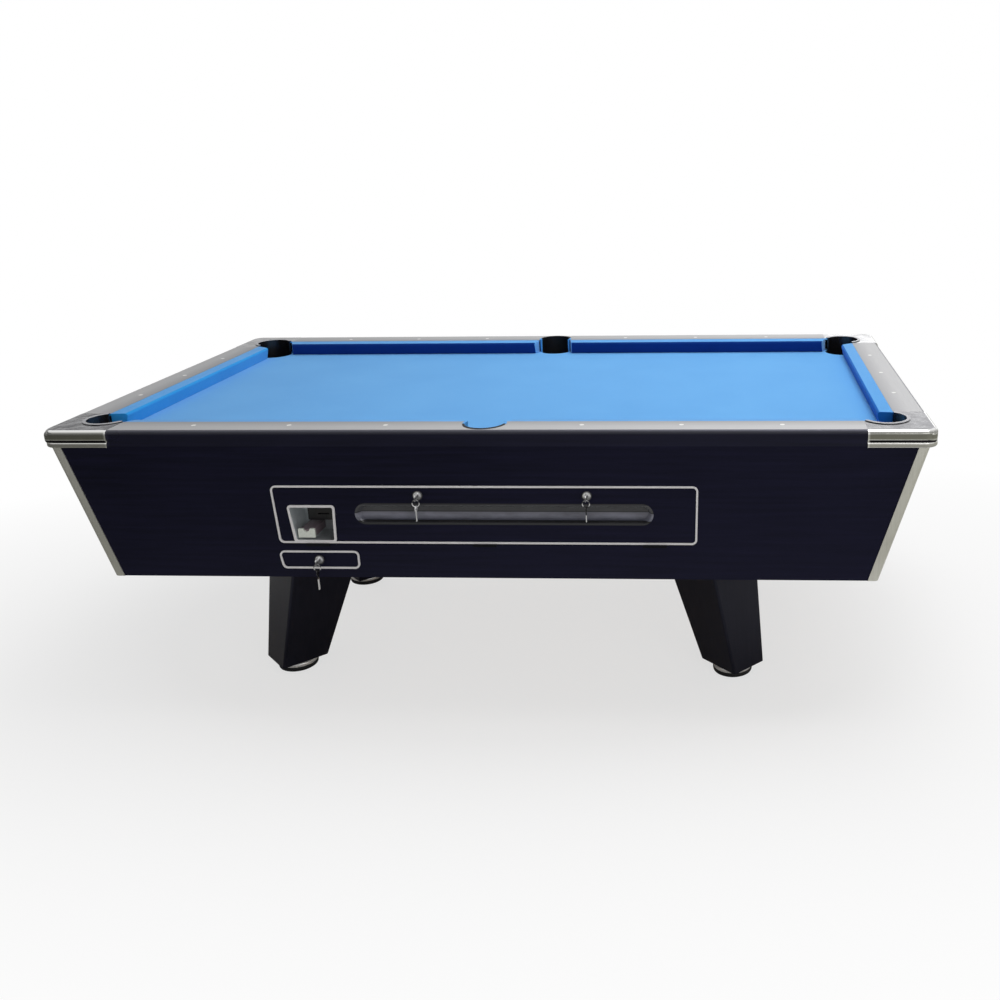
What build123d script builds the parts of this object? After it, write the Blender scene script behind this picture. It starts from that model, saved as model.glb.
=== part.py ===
from build123d import *
import os
from math import cos, radians, sqrt, tan

# Coin-operated pool table: a slate bed on a cabinet with sloping ends, and a coin-released ball return.
# Millimetres. The origin is on the floor under the middle of the table. X runs along the table, -Y faces
# the player at the access door, and Z points up.

# Playing field, rails and heights
play_length = 2000.0
play_width = 1000.0
table_height = 822.0
rail_rise = 42.0
cushion_depth = 39.0
rail_width = 82.0
rail_edge = 6.0
laminate_thick = 2.0
cloth_thick = 1.5
slate_thick = 22.0
slate_margin = 68.0

# Cushion section, measured from the nose and from the bed
nose_height = 36.0
nose_round = 3.0
nose_undercut = 15.0
cushion_lift = 0.5
cushion_slope = 2.0

# Pockets
corner_pocket_r = 56.0
corner_pocket_shift = 12.0
corner_mouth = 60.0
corner_mouth_taper = 16.0
side_pocket_r = 54.0
side_pocket_set = 17.0
side_mouth = 132.0
side_mouth_taper = 10.5
liner_wall = 4.0
liner_drop = 87.0
liner_gap = 0.3
corner_lip = 5.0
corner_lip_rise = 3.0
corner_lip_round = 1.4
side_lip = 2.0
side_lip_rise = 1.5
side_lip_round = 0.7
slate_gap = 1.0

# Corner castings
casting_proud = 6.0
casting_reach = 46.0
casting_round = 36.0
casting_plate = 6.0
casting_wall = 10.0
casting_skirt = 45.0
casting_lip = 14.0
casting_groove = 5.0
casting_groove_depth = 4.0
casting_top_round = 11.0
casting_edge_round = 4.0
casting_knob_r = 15.0
casting_knob_proud = 3.5
casting_knob_drop = 2.0
casting_knob_rise = 8.0
casting_knob_round = 12.0

# Cabinet
panel_thick = 19.0
floor_thick = 18.0
end_slope = 17.7
end_overhang = 16.0
trim_corner = 14.0
trim_face = 26.0
trim_side = 30.0
trim_proud = 2.0
trim_round = 12.0

# Slate frame
beam_width = 45.0
beam_height = 60.0
beam_tongue = 20.0
beam_set = 240.0
cleat_width = 39.0
cleat_height = 40.0
cleat_end_gap = 8.0
cleat_pocket_gap = 24.0
end_cleat_width = 25.0
end_cleat_gap = 25.0
end_cleat_set = 28.0

# Sights and bolts
sight_spacing = 250.0
sight_set = 72.5
sight_r = 6.0
sight_proud = 0.3
sight_gap = 0.05
bolt_r = 4.0
bolt_hole_gap = 0.2
bolt_head_r = 7.0
bolt_head = 5.0
bolt_grip = 25.0
rail_bolt_set = 11.0
rail_bolt_end = 120.0
end_bolt_inner = 120.0
end_bolt_outer = 330.0
leg_bolt_spread = 45.0
leg_bolt_grip = 40.0

# Legs and levelling feet
leg_foot_end = 348.0
leg_foot_side = 194.0
leg_top_end = 437.0
leg_top_side = 203.0
leg_foot_face = 122.0
leg_foot_depth = 139.0
leg_top_face = 185.0
leg_top_depth = 215.0
leg_edge_round = 8.0
leg_top_shift = -12.0
leg_foot_shift = -25.0
leg_clear = 32.0
foot_r = 57.0
foot_pad = 15.0
foot_pad_round = 6.0
foot_cup_r = 56.0
foot_cup = 14.0
foot_cup_round = 6.0
stud_r = 6.0
stud_length = 55.0
stud_gap = 0.08
stud_bore = 62.0
glue_gap = 0.2

# Access door, its outline strip and hinge
door_length = 1084.0
door_shift = -3.0
door_height = 153.0
door_drop = 106.0
door_taper_left = 9.5
door_taper_right = 4.5
door_round = 10.0
door_gap = 2.5
strip_width = 4.8
strip_proud = 2.5
strip_lip = 2.8
strip_round = 14.0
hinge_set = 108.0
hinge_length = 60.0
hinge_knuckle = 20.0
hinge_r = 3.5
hinge_pin_r = 1.5
hinge_play = 0.06
knuckle_play = 0.3
hinge_stand = 4.2
hinge_drop = 3.9
hinge_leaf = 1.0
hinge_leaf_depth = 18.0

# Ball window in the door
window_left_gap = 58.0
window_right_gap = 113.0
window_drop = 73.0
window_height = 51.0
window_depth = 15.0
window_draft = 8.0
window_wall = 2.5
window_lip = 3.0
window_lip_thick = 1.0

# Locks and keys
lock_spread = 215.0
lock_drop = 23.0
lock_flange_r = 13.0
lock_flange = 4.0
lock_barrel_r = 9.5
lock_hole_gap = 0.3
lock_nut = 3.0
plug_r = 6.0
plug_play = 0.06
plug_proud = 0.6
cam_gap = 0.5
cam_thick = 3.0
cam_width = 14.0
door_cam_length = 42.0
drawer_cam_length = 30.0
key_thick = 2.2
key_reach = 24.0
key_bow_height = 18.0
key_bow_round = 5.0
key_hole_r = 3.0
key_hole_set = 7.0
key_hole_drop = 3.5
ring_r = 9.0
ring_wire_r = 1.1
ring_play = 0.3
spare_bow_r = 8.0
spare_bow_wall = 1.5
spare_blade_width = 6.0
door_spare_blade = 25.0
drawer_spare_blade = 38.0

# Coin recess, coin head and coin slide in the door
recess_set = 39.0
recess_width = 117.0
recess_taper_left = 12.0
recess_taper_right = 3.0
recess_drop = 54.0
recess_rise = 6.0
recess_depth = 81.0
recess_wall = 2.0
recess_gap = 0.3
bezel_width = 4.0
bezel_round = 9.0
coin_head_width = 84.0
coin_head_height = 50.0
coin_head_thick = 30.0
coin_slot_width = 30.0
coin_slot_height = 4.0
coin_slot_depth = 8.0
slide_side_gap = 3.0
slide_rise = 5.0
slide_plate_width = 44.0
slide_plate_height = 24.0
slide_plate_thick = 6.0
slide_inset = 3.0
slide_tongue_width = 38.0
slide_tongue_thick = 20.0
slide_notch = 8.0
slide_play = 0.3
slide_hole_gap = 1.0
slide_travel = 52.0

# Cash drawer
drawer_set = 3.0
drawer_gap = 24.0
drawer_margin = 27.0
drawer_length = 206.0
drawer_height = 44.0
drawer_taper = 8.0
drawer_round = 8.0
drawer_box_set = 12.0
drawer_side_gap = 6.0
drawer_box_depth = 230.0
drawer_box_wall = 5.0
drawer_back_gap = 24.0
drawer_box_rise = 2.0
drawer_box_height = 35.0
runner_width = 20.0

# Ball ways
ball_way = 58.0
gully_board = 9.0
gully_height = 56.0
gully_depth_left = 16.5
gully_depth_right = 24.5
gully_depth_drop = 39.5
gully_end_set = 36.0
drop_set = 185.0
cross_height = 60.0
cross_depth_rear = 18.5
cross_depth_front = 40.5
turn_step = 2.0
turn_fall_depth = 8.0
ramp_gap = 2.0
ramp_step = 6.5
ramp_thick = 6.0
trough_board = 6.0
trough_front_board = 4.0
trough_floor = 8.0
trough_way = 56.0
trough_set = 1.5
trough_inset = 33.0
trough_right_drop = 19.0
trough_left_drop = 31.0
trough_front_drop = 17.0
trough_rear_gap = 4.5
return_step = 10.0
return_turn_fall = 11.0
return_leg_step = 8.0
return_leg_fall = 33.0
return_board_rise = 15.0
return_leg_rise = 34.0
tray_depth = 92.0
tray_width = 190.0
tray_step = 24.0
tray_back_rise = 14.0
tray_lip_rise = 22.0
tray_gap = 1.0
return_hole_height = 70.0
return_hole_width = 170.0
return_hole_round = 20.0

# Release gate
gate_arm = 10.0
guide_rise = 46.0
gate_thick = 4.0
gate_plate_thick = 3.0
gate_tab_width = 16.0
gate_play = 0.3
gate_reach = 57.0

# Levels and lines that follow from the sizes above
bed_z = table_height - rail_rise
slate_top = bed_z - cloth_thick
slate_bottom = slate_top - slate_thick
beam_bottom = slate_bottom - beam_height
door_top = bed_z - door_drop
door_bottom = door_top - door_height
drawer_top = door_bottom - drawer_gap
drawer_bottom = drawer_top - drawer_height
cabinet_bottom = drawer_bottom - drawer_margin
floor_top = cabinet_bottom + floor_thick
nose_x = play_length / 2
nose_y = play_width / 2
rail_in_x = nose_x + cushion_depth
rail_in_y = nose_y + cushion_depth
rail_out_x = rail_in_x + rail_width
rail_out_y = rail_in_y + rail_width
slate_x = nose_x + slate_margin
slate_y = nose_y + slate_margin
leg_foot_x = nose_x - leg_foot_end
leg_foot_y = nose_y - leg_foot_side
leg_top_x = nose_x - leg_top_end
leg_top_y = nose_y - leg_top_side
joint_x = nose_x - casting_reach
joint_y = nose_y - casting_reach
corner_x = nose_x + corner_pocket_shift
corner_y = nose_y + corner_pocket_shift
side_y = rail_in_y + side_pocket_set
liner_bottom = table_height - liner_drop
casting_bottom = table_height - casting_skirt
front_y = rail_out_y
inner_y = front_y - panel_thick
end_run = panel_thick / cos(radians(end_slope))
door_left = door_shift - door_length / 2
door_right = door_shift + door_length / 2
hinge_y = -(front_y + hinge_stand)
hinge_z = door_bottom - hinge_drop
lock_back = inner_y - lock_nut
cam_front = lock_back - cam_gap
key_tip = front_y + lock_flange + plug_proud + key_reach
key_hole_y = key_tip - key_hole_set
recess_back = front_y - recess_depth
recess_left = door_left + recess_set
recess_right = recess_left + recess_width
recess_top = door_top - recess_drop
recess_bottom = door_bottom + recess_rise
slide_base = recess_bottom + recess_wall + slide_rise
window_left = recess_right + window_left_gap
window_length = door_right - window_right_gap - window_left
window_x = window_left + window_length / 2
window_z = door_top - window_drop
lock_z = door_top - lock_drop
drawer_left = door_left + drawer_set
drawer_right = drawer_left + drawer_length
drawer_mid_x = drawer_left + drawer_length / 2
drawer_mid_z = drawer_bottom + drawer_height / 2
gully_bottom = beam_bottom - gully_height
gully_end_x = nose_x + gully_end_set
drop_x = nose_x - drop_set
way_low = corner_y - ball_way / 2
way_high = corner_y + ball_way / 2
trough_front_y = -(inner_y - trough_set)
trough_inner_y = trough_front_y + trough_front_board
trough_rear_y = trough_inner_y + trough_way
trough_right = drop_x - ball_way / 2 - gully_board - glue_gap
trough_left = window_left + trough_inset
trough_floor_left = window_z - trough_left_drop
chute_right = trough_left - trough_board
chute_left = chute_right - trough_way
return_board_top = trough_floor_left + return_board_rise
guide_top = trough_floor_left + guide_rise
gate_base = guide_top + gate_play
drawer_back = drawer_box_depth - inner_y
return_leg_y = drawer_back + drawer_back_gap + trough_board + trough_way / 2
return_floor_start = trough_floor_left - return_step
return_floor_turn = return_floor_start - return_turn_fall
return_floor_leg = return_floor_turn - return_leg_step
return_floor_end = return_floor_leg - return_leg_fall
tray_floor = return_floor_end - tray_step
tray_lip_top = tray_floor + tray_lip_rise
drawer_box_left = drawer_left + drawer_box_set
drawer_box_right = chute_left - trough_board - drawer_side_gap
drawer_box_bottom = drawer_bottom + drawer_box_rise
slide_tip = recess_back - slide_play
gate_front = -(slide_tip - gate_play)
slide_mid_x = recess_left + recess_taper_left + recess_wall + slide_side_gap + slide_plate_width / 2


def end_x(z):
    """Outer face of the right end panel at height z."""
    return rail_out_x - end_overhang - (bed_z - z) * tan(radians(end_slope))


def save(piece, name):
    """Label a finished piece and write it out."""
    piece.label = name
    export_step(piece, f"parts/{name}.step")


corner_planes = {
    "near_right": [],
    "near_left": [Plane.YZ],
    "far_right": [Plane.XZ],
    "far_left": [Plane.YZ, Plane.XZ],
}


def save_at_corners(piece, name, shift=0):
    """Write one piece at each corner of the table, mirrored from the near right one, then shifted along X."""
    for corner, planes in corner_planes.items():
        placed = piece
        for plane in planes:
            placed = mirror(placed, about=plane)
        save(placed.moved(Location((shift, 0, 0))), f"{corner}_{name}")


def block(x, y, z, mode=Mode.ADD):
    """A box between two values along each axis, added to the part being built."""
    with Locations(((x[0] + x[1]) / 2, (y[0] + y[1]) / 2, (z[0] + z[1]) / 2)):
        Box(x[1] - x[0], y[1] - y[0], z[1] - z[0], mode=mode)


def side_plate(points, y):
    """A plate with an outline in X and Z, between two values of Y."""
    with BuildPart() as plate:
        with BuildSketch(Plane.XZ.offset(-y[0])):
            with BuildLine():
                Polyline(*points, close=True)
            make_face()
        extrude(amount=y[0] - y[1])
    return plate.part


def cross_plate(points, x):
    """A plate with an outline in Y and Z, between two values of X."""
    with BuildPart() as plate:
        with BuildSketch(Plane.YZ.offset(x[0])):
            with BuildLine():
                Polyline(*points, close=True)
            make_face()
        extrude(amount=x[1] - x[0])
    return plate.part


def sloped_floor(start, end, thick):
    """Corners of a board whose top runs from start to end."""
    return [start, end, (end[0], end[1] - thick), (start[0], start[1] - thick)]


os.makedirs("parts", exist_ok=True)

# Cabinet panels
side_cut_r = side_pocket_r + liner_gap
panel_outline = [
    (-(end_x(bed_z) - trim_corner), bed_z),
    (end_x(bed_z) - trim_corner, bed_z),
    (end_x(cabinet_bottom) - trim_corner, cabinet_bottom),
    (-(end_x(cabinet_bottom) - trim_corner), cabinet_bottom),
]


def scallop(y):
    """Room for a side pocket liner in the inner face of a long panel, in the part being built."""
    with Locations((0, y, bed_z)):
        Cylinder(
            side_cut_r,
            bed_z - liner_bottom + liner_gap,
            align=(Align.CENTER, Align.CENTER, Align.MAX),
            mode=Mode.SUBTRACT,
        )


def rounded_face(points, radius):
    """A flat outline with every corner rounded."""
    with BuildSketch() as face:
        with BuildLine():
            Polyline(*points, close=True)
        make_face()
        fillet(face.vertices(), radius)
    return face.sketch


def tapered(left, right, z, taper_left, taper_right, grow=0):
    """Corners of an outline that is drawn in at its foot on both sides, grown by a margin all round."""
    return [
        (left - grow, z[1] + grow),
        (right + grow, z[1] + grow),
        (right - taper_right + grow, z[0] - grow),
        (left + taper_left - grow, z[0] - grow),
    ]


def door_face(grow):
    """The door's outline, grown by a margin."""
    door_z = (door_bottom, door_top)
    corners = tapered(door_left, door_right, door_z, door_taper_left, door_taper_right, grow)
    return rounded_face(corners, door_round + grow)


def drawer_face(grow):
    """The cash drawer's outline, grown by a margin."""
    corners = tapered(drawer_left, drawer_right, (drawer_bottom, drawer_top), drawer_taper, 0, grow)
    return rounded_face(corners, drawer_round + grow)


with BuildPart() as front_panel:
    add(side_plate(panel_outline, (-front_y, -inner_y)))
    with BuildSketch(Plane.XZ.offset(inner_y)):
        add(door_face(door_gap))
        add(drawer_face(door_gap))
    extrude(amount=panel_thick, mode=Mode.SUBTRACT)
    scallop(-side_y)
save(front_panel.part, "front_panel")

with BuildPart() as rear_panel:
    add(side_plate(panel_outline, (inner_y, front_y)))
    scallop(side_y)
save(rear_panel.part, "rear_panel")

end_outline = [
    (end_x(bed_z), bed_z),
    (end_x(cabinet_bottom), cabinet_bottom),
    (end_x(cabinet_bottom) - end_run, cabinet_bottom),
    (end_x(bed_z) - end_run, bed_z),
]

with BuildPart() as right_end_panel:
    add(side_plate(end_outline, (-inner_y, inner_y)))
save(right_end_panel.part, "right_end_panel")

return_hole_z = tray_lip_top + return_hole_height / 2
with BuildPart() as left_end_panel:
    mirror(right_end_panel.part, about=Plane.YZ)
    with BuildSketch(Plane.YZ.offset(-rail_out_x)):
        with Locations((return_leg_y, return_hole_z)):
            RectangleRounded(return_hole_width, return_hole_height, return_hole_round)
    extrude(amount=rail_out_x, mode=Mode.SUBTRACT)
save(left_end_panel.part, "left_end_panel")

floor_outline = [
    (-(end_x(floor_top) - end_run), floor_top),
    (end_x(floor_top) - end_run, floor_top),
    (end_x(cabinet_bottom) - end_run, cabinet_bottom),
    (-(end_x(cabinet_bottom) - end_run), cabinet_bottom),
]
leg_bolt_spots = [
    (sx * (leg_top_x + dx) + leg_top_shift, sy * return_leg_y)
    for sx in (-1, 1)
    for sy in (-1, 1)
    for dx in (-leg_bolt_spread, leg_bolt_spread)
]
runner_top = drawer_box_bottom - slide_play

with BuildPart() as bottom_panel:
    add(side_plate(floor_outline, (-inner_y, inner_y)))
    for left in (drawer_box_left, drawer_box_right - runner_width):
        block((left, left + runner_width), (-inner_y, drawer_box_depth - inner_y), (floor_top, runner_top))
    with Locations(*[(x, y, floor_top) for x, y in leg_bolt_spots]):
        Hole(bolt_r + bolt_hole_gap, floor_thick)
save(bottom_panel.part, "bottom_panel")

# Corner trims, one section slanted up each corner of the cabinet
trim_x = end_x(cabinet_bottom)
trim_rise = casting_bottom - cabinet_bottom
trim_lean = end_x(casting_bottom) - trim_x
arc_in = trim_round - trim_proud
arc_mid = arc_in - trim_round / sqrt(2)

with BuildPart() as corner_trims:
    with BuildSketch(Plane.XY.offset(cabinet_bottom)):
        with BuildLine():
            ThreePointArc(
                (trim_x + trim_proud, arc_in - front_y),
                (trim_x - arc_mid, arc_mid - front_y),
                (trim_x - arc_in, -trim_proud - front_y),
            )
            Polyline(
                (trim_x - arc_in, -trim_proud - front_y),
                (trim_x - trim_face, -trim_proud - front_y),
                (trim_x - trim_face, -front_y),
                (trim_x - trim_corner, -front_y),
                (trim_x - trim_corner, -inner_y),
                (trim_x, -inner_y),
                (trim_x, trim_side - front_y),
                (trim_x + trim_proud, trim_side - front_y),
                (trim_x + trim_proud, arc_in - front_y),
            )
        make_face()
    extrude(amount=sqrt(trim_rise**2 + trim_lean**2), dir=(trim_lean, 0, trim_rise))
    mirror(about=Plane.YZ)
    mirror(about=Plane.XZ)
save(corner_trims.part, "corner_trims")

# Slate, its cloth and the frame under it
outer_beam = nose_x - beam_set
inner_beam = outer_beam / 2
long_rail_bolts = (inner_beam / 2, (inner_beam + outer_beam) / 2, nose_x - rail_bolt_end)
end_rail_bolts = (end_bolt_inner, end_bolt_outer)
rail_bolt_spots = [
    (sx * x, sy * (rail_in_y + rail_bolt_set)) for x in long_rail_bolts for sx in (-1, 1) for sy in (-1, 1)
] + [(sx * (rail_in_x + rail_bolt_set), sy * y) for y in end_rail_bolts for sx in (-1, 1) for sy in (-1, 1)]


def bed_plate(top, thick):
    """A plate of the slate's outline, open at the six pockets and drilled for the rail bolts."""
    hole_r = corner_pocket_r + slate_gap
    with BuildPart() as plate:
        with BuildSketch(Plane.XY.offset(top - thick)):
            Rectangle(2 * slate_x, 2 * slate_y)
            for sx in (-1, 1):
                for sy in (-1, 1):
                    with Locations((sx * corner_x, sy * corner_y)):
                        Circle(hole_r, mode=Mode.SUBTRACT)
                    with Locations((sx * (corner_x + hole_r / 2), sy * (corner_y + hole_r / 2))):
                        Rectangle(hole_r, hole_r, mode=Mode.SUBTRACT)
            with Locations((0, -side_y), (0, side_y)):
                Circle(side_pocket_r + slate_gap, mode=Mode.SUBTRACT)
            with Locations(*rail_bolt_spots):
                Circle(bolt_r + bolt_hole_gap, mode=Mode.SUBTRACT)
        extrude(amount=thick)
    return plate.part


with BuildPart() as slate_bed:
    add(bed_plate(slate_top, slate_thick))
save(slate_bed.part, "slate_bed")

with BuildPart() as bed_cloth:
    add(bed_plate(bed_z, cloth_thick))
save(bed_cloth.part, "bed_cloth")

tongue_z = slate_bottom - beam_tongue
beam_outline = [
    (-inner_y, slate_bottom),
    (inner_y, slate_bottom),
    (inner_y, tongue_z),
    (way_low, tongue_z),
    (way_low, beam_bottom),
    (-way_low, beam_bottom),
    (-way_low, tongue_z),
    (-inner_y, tongue_z),
]
cleat_z = (slate_bottom - cleat_height, slate_bottom)
cleat_runs = [
    (side_pocket_r + cleat_pocket_gap, inner_beam - beam_width / 2 - cleat_end_gap),
    (inner_beam + beam_width / 2 + cleat_end_gap, outer_beam - beam_width / 2 - cleat_end_gap),
]
end_cleat_x = rail_in_x - end_cleat_set
end_cleat_y = corner_y - corner_pocket_r - slate_gap - end_cleat_gap

with BuildPart() as slate_frame:
    for x in (inner_beam, outer_beam):
        add(cross_plate(beam_outline, (x - beam_width / 2, x + beam_width / 2)))
    for run in cleat_runs:
        block(run, (-inner_y, cleat_width - inner_y), cleat_z)
        block(run, (inner_y - cleat_width, inner_y), cleat_z)
    block((end_cleat_x, end_cleat_x + end_cleat_width), (-end_cleat_y, end_cleat_y), cleat_z)
    mirror(about=Plane.YZ)
save(slate_frame.part, "slate_frame")

# Rails with their laminate tops, and the sights set into them
core_top = table_height - laminate_thick


def rail_length(outer, inner, half_length):
    """A rail along X whose cushion side faces +Y, with a rounded outer edge."""
    edge = table_height - rail_edge
    with BuildPart() as rail:
        with BuildSketch(Plane.YZ.offset(-half_length)):
            with BuildLine():
                RadiusArc((-outer, edge), (-outer + rail_edge, table_height), rail_edge)
                Polyline(
                    (-outer + rail_edge, table_height),
                    (-outer + rail_edge, core_top),
                    (-inner, core_top),
                    (-inner, bed_z),
                    (-outer, bed_z),
                    (-outer, edge),
                )
            make_face()
        extrude(amount=2 * half_length)
    return rail.part


def drill_rail():
    """Blind holes for the rail bolts, in the part being built."""
    with Locations(*[(x, y, bed_z + bolt_grip / 2) for x, y in rail_bolt_spots]):
        Cylinder(bolt_r + bolt_hole_gap, bolt_grip + bolt_hole_gap, mode=Mode.SUBTRACT)


with BuildPart() as near_rail:
    add(rail_length(rail_out_y, rail_in_y, joint_x))
    with BuildSketch(Plane.XY.offset(bed_z)):
        with Locations((0, -side_y)):
            Circle(side_cut_r)
        with Locations((0, -side_y + side_pocket_set / 2)):
            Rectangle(2 * side_cut_r, side_pocket_set)
    extrude(amount=rail_rise, mode=Mode.SUBTRACT)
    drill_rail()
save(near_rail.part, "near_rail")
save(mirror(near_rail.part, about=Plane.XZ), "far_rail")

with BuildPart() as right_rail:
    add(rail_length(rail_out_x, rail_in_x, joint_y), rotation=(0, 0, 90))
    drill_rail()
save(right_rail.part, "right_rail")
save(mirror(right_rail.part, about=Plane.YZ), "left_rail")

long_steps = (-3, -2, -1, 1, 2, 3)
long_sights = [(n * sight_spacing, sy * (nose_y + sight_set)) for n in long_steps for sy in (-1, 1)]
end_sights = [(sx * (nose_x + sight_set), n * sight_spacing) for n in (-1, 0, 1) for sx in (-1, 1)]
top_width = rail_width - rail_edge

with BuildPart() as rail_tops:
    with BuildSketch(Plane.XY.offset(core_top)):
        with Locations((0, -(rail_in_y + top_width / 2)), (0, rail_in_y + top_width / 2)):
            Rectangle(2 * joint_x, top_width)
        with Locations((-(rail_in_x + top_width / 2), 0), (rail_in_x + top_width / 2, 0)):
            Rectangle(top_width, 2 * joint_y)
        with Locations((0, -side_y), (0, side_y)):
            Circle(side_cut_r, mode=Mode.SUBTRACT)
        with Locations((0, -rail_in_y), (0, rail_in_y)):
            Rectangle(2 * side_cut_r, 2 * side_pocket_set, mode=Mode.SUBTRACT)
        with Locations(*long_sights, *end_sights):
            Circle(sight_r + sight_gap, mode=Mode.SUBTRACT)
    extrude(amount=laminate_thick)
save(rail_tops.part, "rail_tops")

with BuildPart() as rail_sights:
    with BuildSketch(Plane.XY.offset(core_top)):
        with Locations(*long_sights, *end_sights):
            Circle(sight_r)
    extrude(amount=laminate_thick + sight_proud)
save(rail_sights.part, "rail_sights")

with BuildPart() as frame_bolts:
    with Locations(*[(x, y, slate_bottom) for x, y in rail_bolt_spots]):
        Cylinder(bolt_r, bed_z + bolt_grip - slate_bottom, align=(Align.CENTER, Align.CENTER, Align.MIN))
        Cylinder(bolt_head_r, bolt_head, align=(Align.CENTER, Align.CENTER, Align.MAX))
    with Locations(*[(x, y, floor_top) for x, y in leg_bolt_spots]):
        Cylinder(bolt_r, floor_thick + leg_bolt_grip, align=(Align.CENTER, Align.CENTER, Align.MAX))
        Cylinder(bolt_head_r, bolt_head, align=(Align.CENTER, Align.CENTER, Align.MIN))
save(frame_bolts.part, "frame_bolts")


# Cushions: one section, cut to length, with the nose facing the field
def cushion(left, right, left_taper, right_taper):
    """A cushion along X, its nose at Y = 0 between two values of X, its ends reaching further at the rail."""
    nose_z = bed_z + nose_height
    back_z = table_height - cushion_lift
    with BuildPart() as rubber:
        with BuildSketch(Plane.YZ.offset(left - left_taper)):
            with BuildLine():
                Polyline(
                    (-nose_round, nose_z + nose_round),
                    (-cushion_depth, back_z),
                    (-cushion_depth, bed_z + cushion_lift),
                    (-nose_undercut, bed_z + cushion_lift),
                    (-cushion_slope, nose_z - nose_round),
                )
                ThreePointArc(
                    (-cushion_slope, nose_z - nose_round),
                    (0, nose_z),
                    (-nose_round, nose_z + nose_round),
                )
            make_face()
        extrude(amount=right + right_taper - left + left_taper)
        with BuildSketch(Plane.XY.offset(bed_z)):
            with BuildLine():
                Polyline(
                    (left, 0),
                    (right, 0),
                    (right + right_taper, -cushion_depth),
                    (left - left_taper, -cushion_depth),
                    close=True,
                )
            make_face()
        extrude(amount=rail_rise, mode=Mode.INTERSECT)
    return rubber.part


with BuildPart() as near_left_cushion:
    with Locations((0, -nose_y, 0)):
        add(cushion(corner_mouth - nose_x, -side_mouth / 2, corner_mouth_taper, side_mouth_taper))
save(near_left_cushion.part, "near_left_cushion")
save(mirror(near_left_cushion.part, about=Plane.YZ), "near_right_cushion")
save(mirror(near_left_cushion.part, about=Plane.XZ), "far_left_cushion")
save(mirror(mirror(near_left_cushion.part, about=Plane.XZ), about=Plane.YZ), "far_right_cushion")

with BuildPart() as right_cushion:
    end_half = nose_y - corner_mouth
    with Locations(Location((nose_x, 0, 0), (0, 0, 90))):
        add(cushion(-end_half, end_half, corner_mouth_taper, corner_mouth_taper))
save(right_cushion.part, "right_cushion")
save(mirror(right_cushion.part, about=Plane.YZ), "left_cushion")


# Corner castings and pocket liners
def casting_outline(inset):
    """The casting's plan, drawn in by inset."""
    right = rail_out_x + casting_proud - inset
    near = rail_out_y + casting_proud - inset
    round_r = casting_round - inset
    arc = round_r / sqrt(2)
    with BuildSketch(mode=Mode.PRIVATE) as plan:
        with BuildLine():
            Polyline(
                (right - round_r, -near),
                (joint_x, -near),
                (joint_x, -joint_y),
                (right, -joint_y),
                (right, round_r - near),
            )
            ThreePointArc(
                (right, round_r - near),
                (right - round_r + arc, round_r - arc - near),
                (right - round_r, -near),
            )
        make_face()
    return plan.sketch


def layer(sketch, low, high):
    """A sketch at the origin raised to stand between two heights."""
    with BuildPart() as slab:
        with BuildSketch(Plane.XY.offset(low)):
            add(sketch)
        extrude(amount=high - low)
    return slab.part


def outer_edges(edges):
    """Those edges that run along the casting's outer side."""
    outer_x = rail_out_x - casting_round / 2
    return [e for e in edges if e.center().Y < -rail_out_y or e.center().X > outer_x]


def casting_knob():
    """The rounded knob that guards the casting's corner."""
    along = (casting_round + casting_knob_proud - casting_knob_r) / sqrt(2) - casting_round + casting_proud
    low = casting_bottom + casting_knob_rise
    high = table_height - casting_knob_drop
    with BuildPart() as knob:
        with Locations((rail_out_x + along, -(rail_out_y + along), low)):
            Cylinder(casting_knob_r, high - low, align=(Align.CENTER, Align.CENTER, Align.MIN))
        fillet(knob.edges().filter_by(GeomType.CIRCLE), casting_knob_round)
    return knob.part


def casting_lip_bar():
    """The rounded lip below the groove."""
    with BuildPart() as bar:
        add(layer(casting_outline(0), casting_bottom, groove_low))
        fillet(outer_edges(bar.edges().group_by(Axis.Z)[-1]), casting_edge_round)
        fillet(outer_edges(bar.edges().group_by(Axis.Z)[0]), casting_edge_round)
    return bar.part


groove_low = casting_bottom + casting_lip
groove_high = groove_low + casting_groove
hollow_top = table_height - casting_plate
with BuildPart() as near_right_casting:
    add(layer(casting_outline(0), groove_high, table_height))
    band_edges = near_right_casting.edges().group_by(Axis.Z)
    fillet(outer_edges(band_edges[-1]), casting_top_round)
    band_edges = near_right_casting.edges().group_by(Axis.Z)
    fillet(outer_edges(band_edges[0]), casting_edge_round)
    add(layer(casting_outline(casting_groove_depth), groove_low, groove_high))
    add(casting_lip_bar())
    add(casting_knob())
    add(layer(casting_outline(casting_wall), bed_z, hollow_top), mode=Mode.SUBTRACT)
    add(layer(casting_outline(casting_proud - liner_gap), casting_bottom, bed_z), mode=Mode.SUBTRACT)
    block((joint_x, rail_in_x), (-rail_in_y, -joint_y), (casting_bottom, table_height), mode=Mode.SUBTRACT)
    with Locations((corner_x, -corner_y, table_height)):
        Hole(corner_pocket_r + liner_gap)
save_at_corners(near_right_casting.part, "casting")


def pocket_ring(x, y, radius, lip, lip_rise, lip_round):
    """A liner's full ring, with a rolled lip on the rail, before its mouth is cut."""
    with BuildPart() as ring:
        with Locations((x, y, liner_bottom)):
            Cylinder(radius, liner_drop, align=(Align.CENTER, Align.CENTER, Align.MIN))
        with Locations((x, y, table_height)):
            Cylinder(radius + lip, lip_rise, align=(Align.CENTER, Align.CENTER, Align.MIN))
        with Locations((x, y, liner_bottom)):
            Cylinder(
                radius - liner_wall,
                liner_drop + lip_rise,
                align=(Align.CENTER, Align.CENTER, Align.MIN),
                mode=Mode.SUBTRACT,
            )
        fillet(ring.edges().group_by(Axis.Z)[-1], lip_round)
    return ring.part


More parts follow.
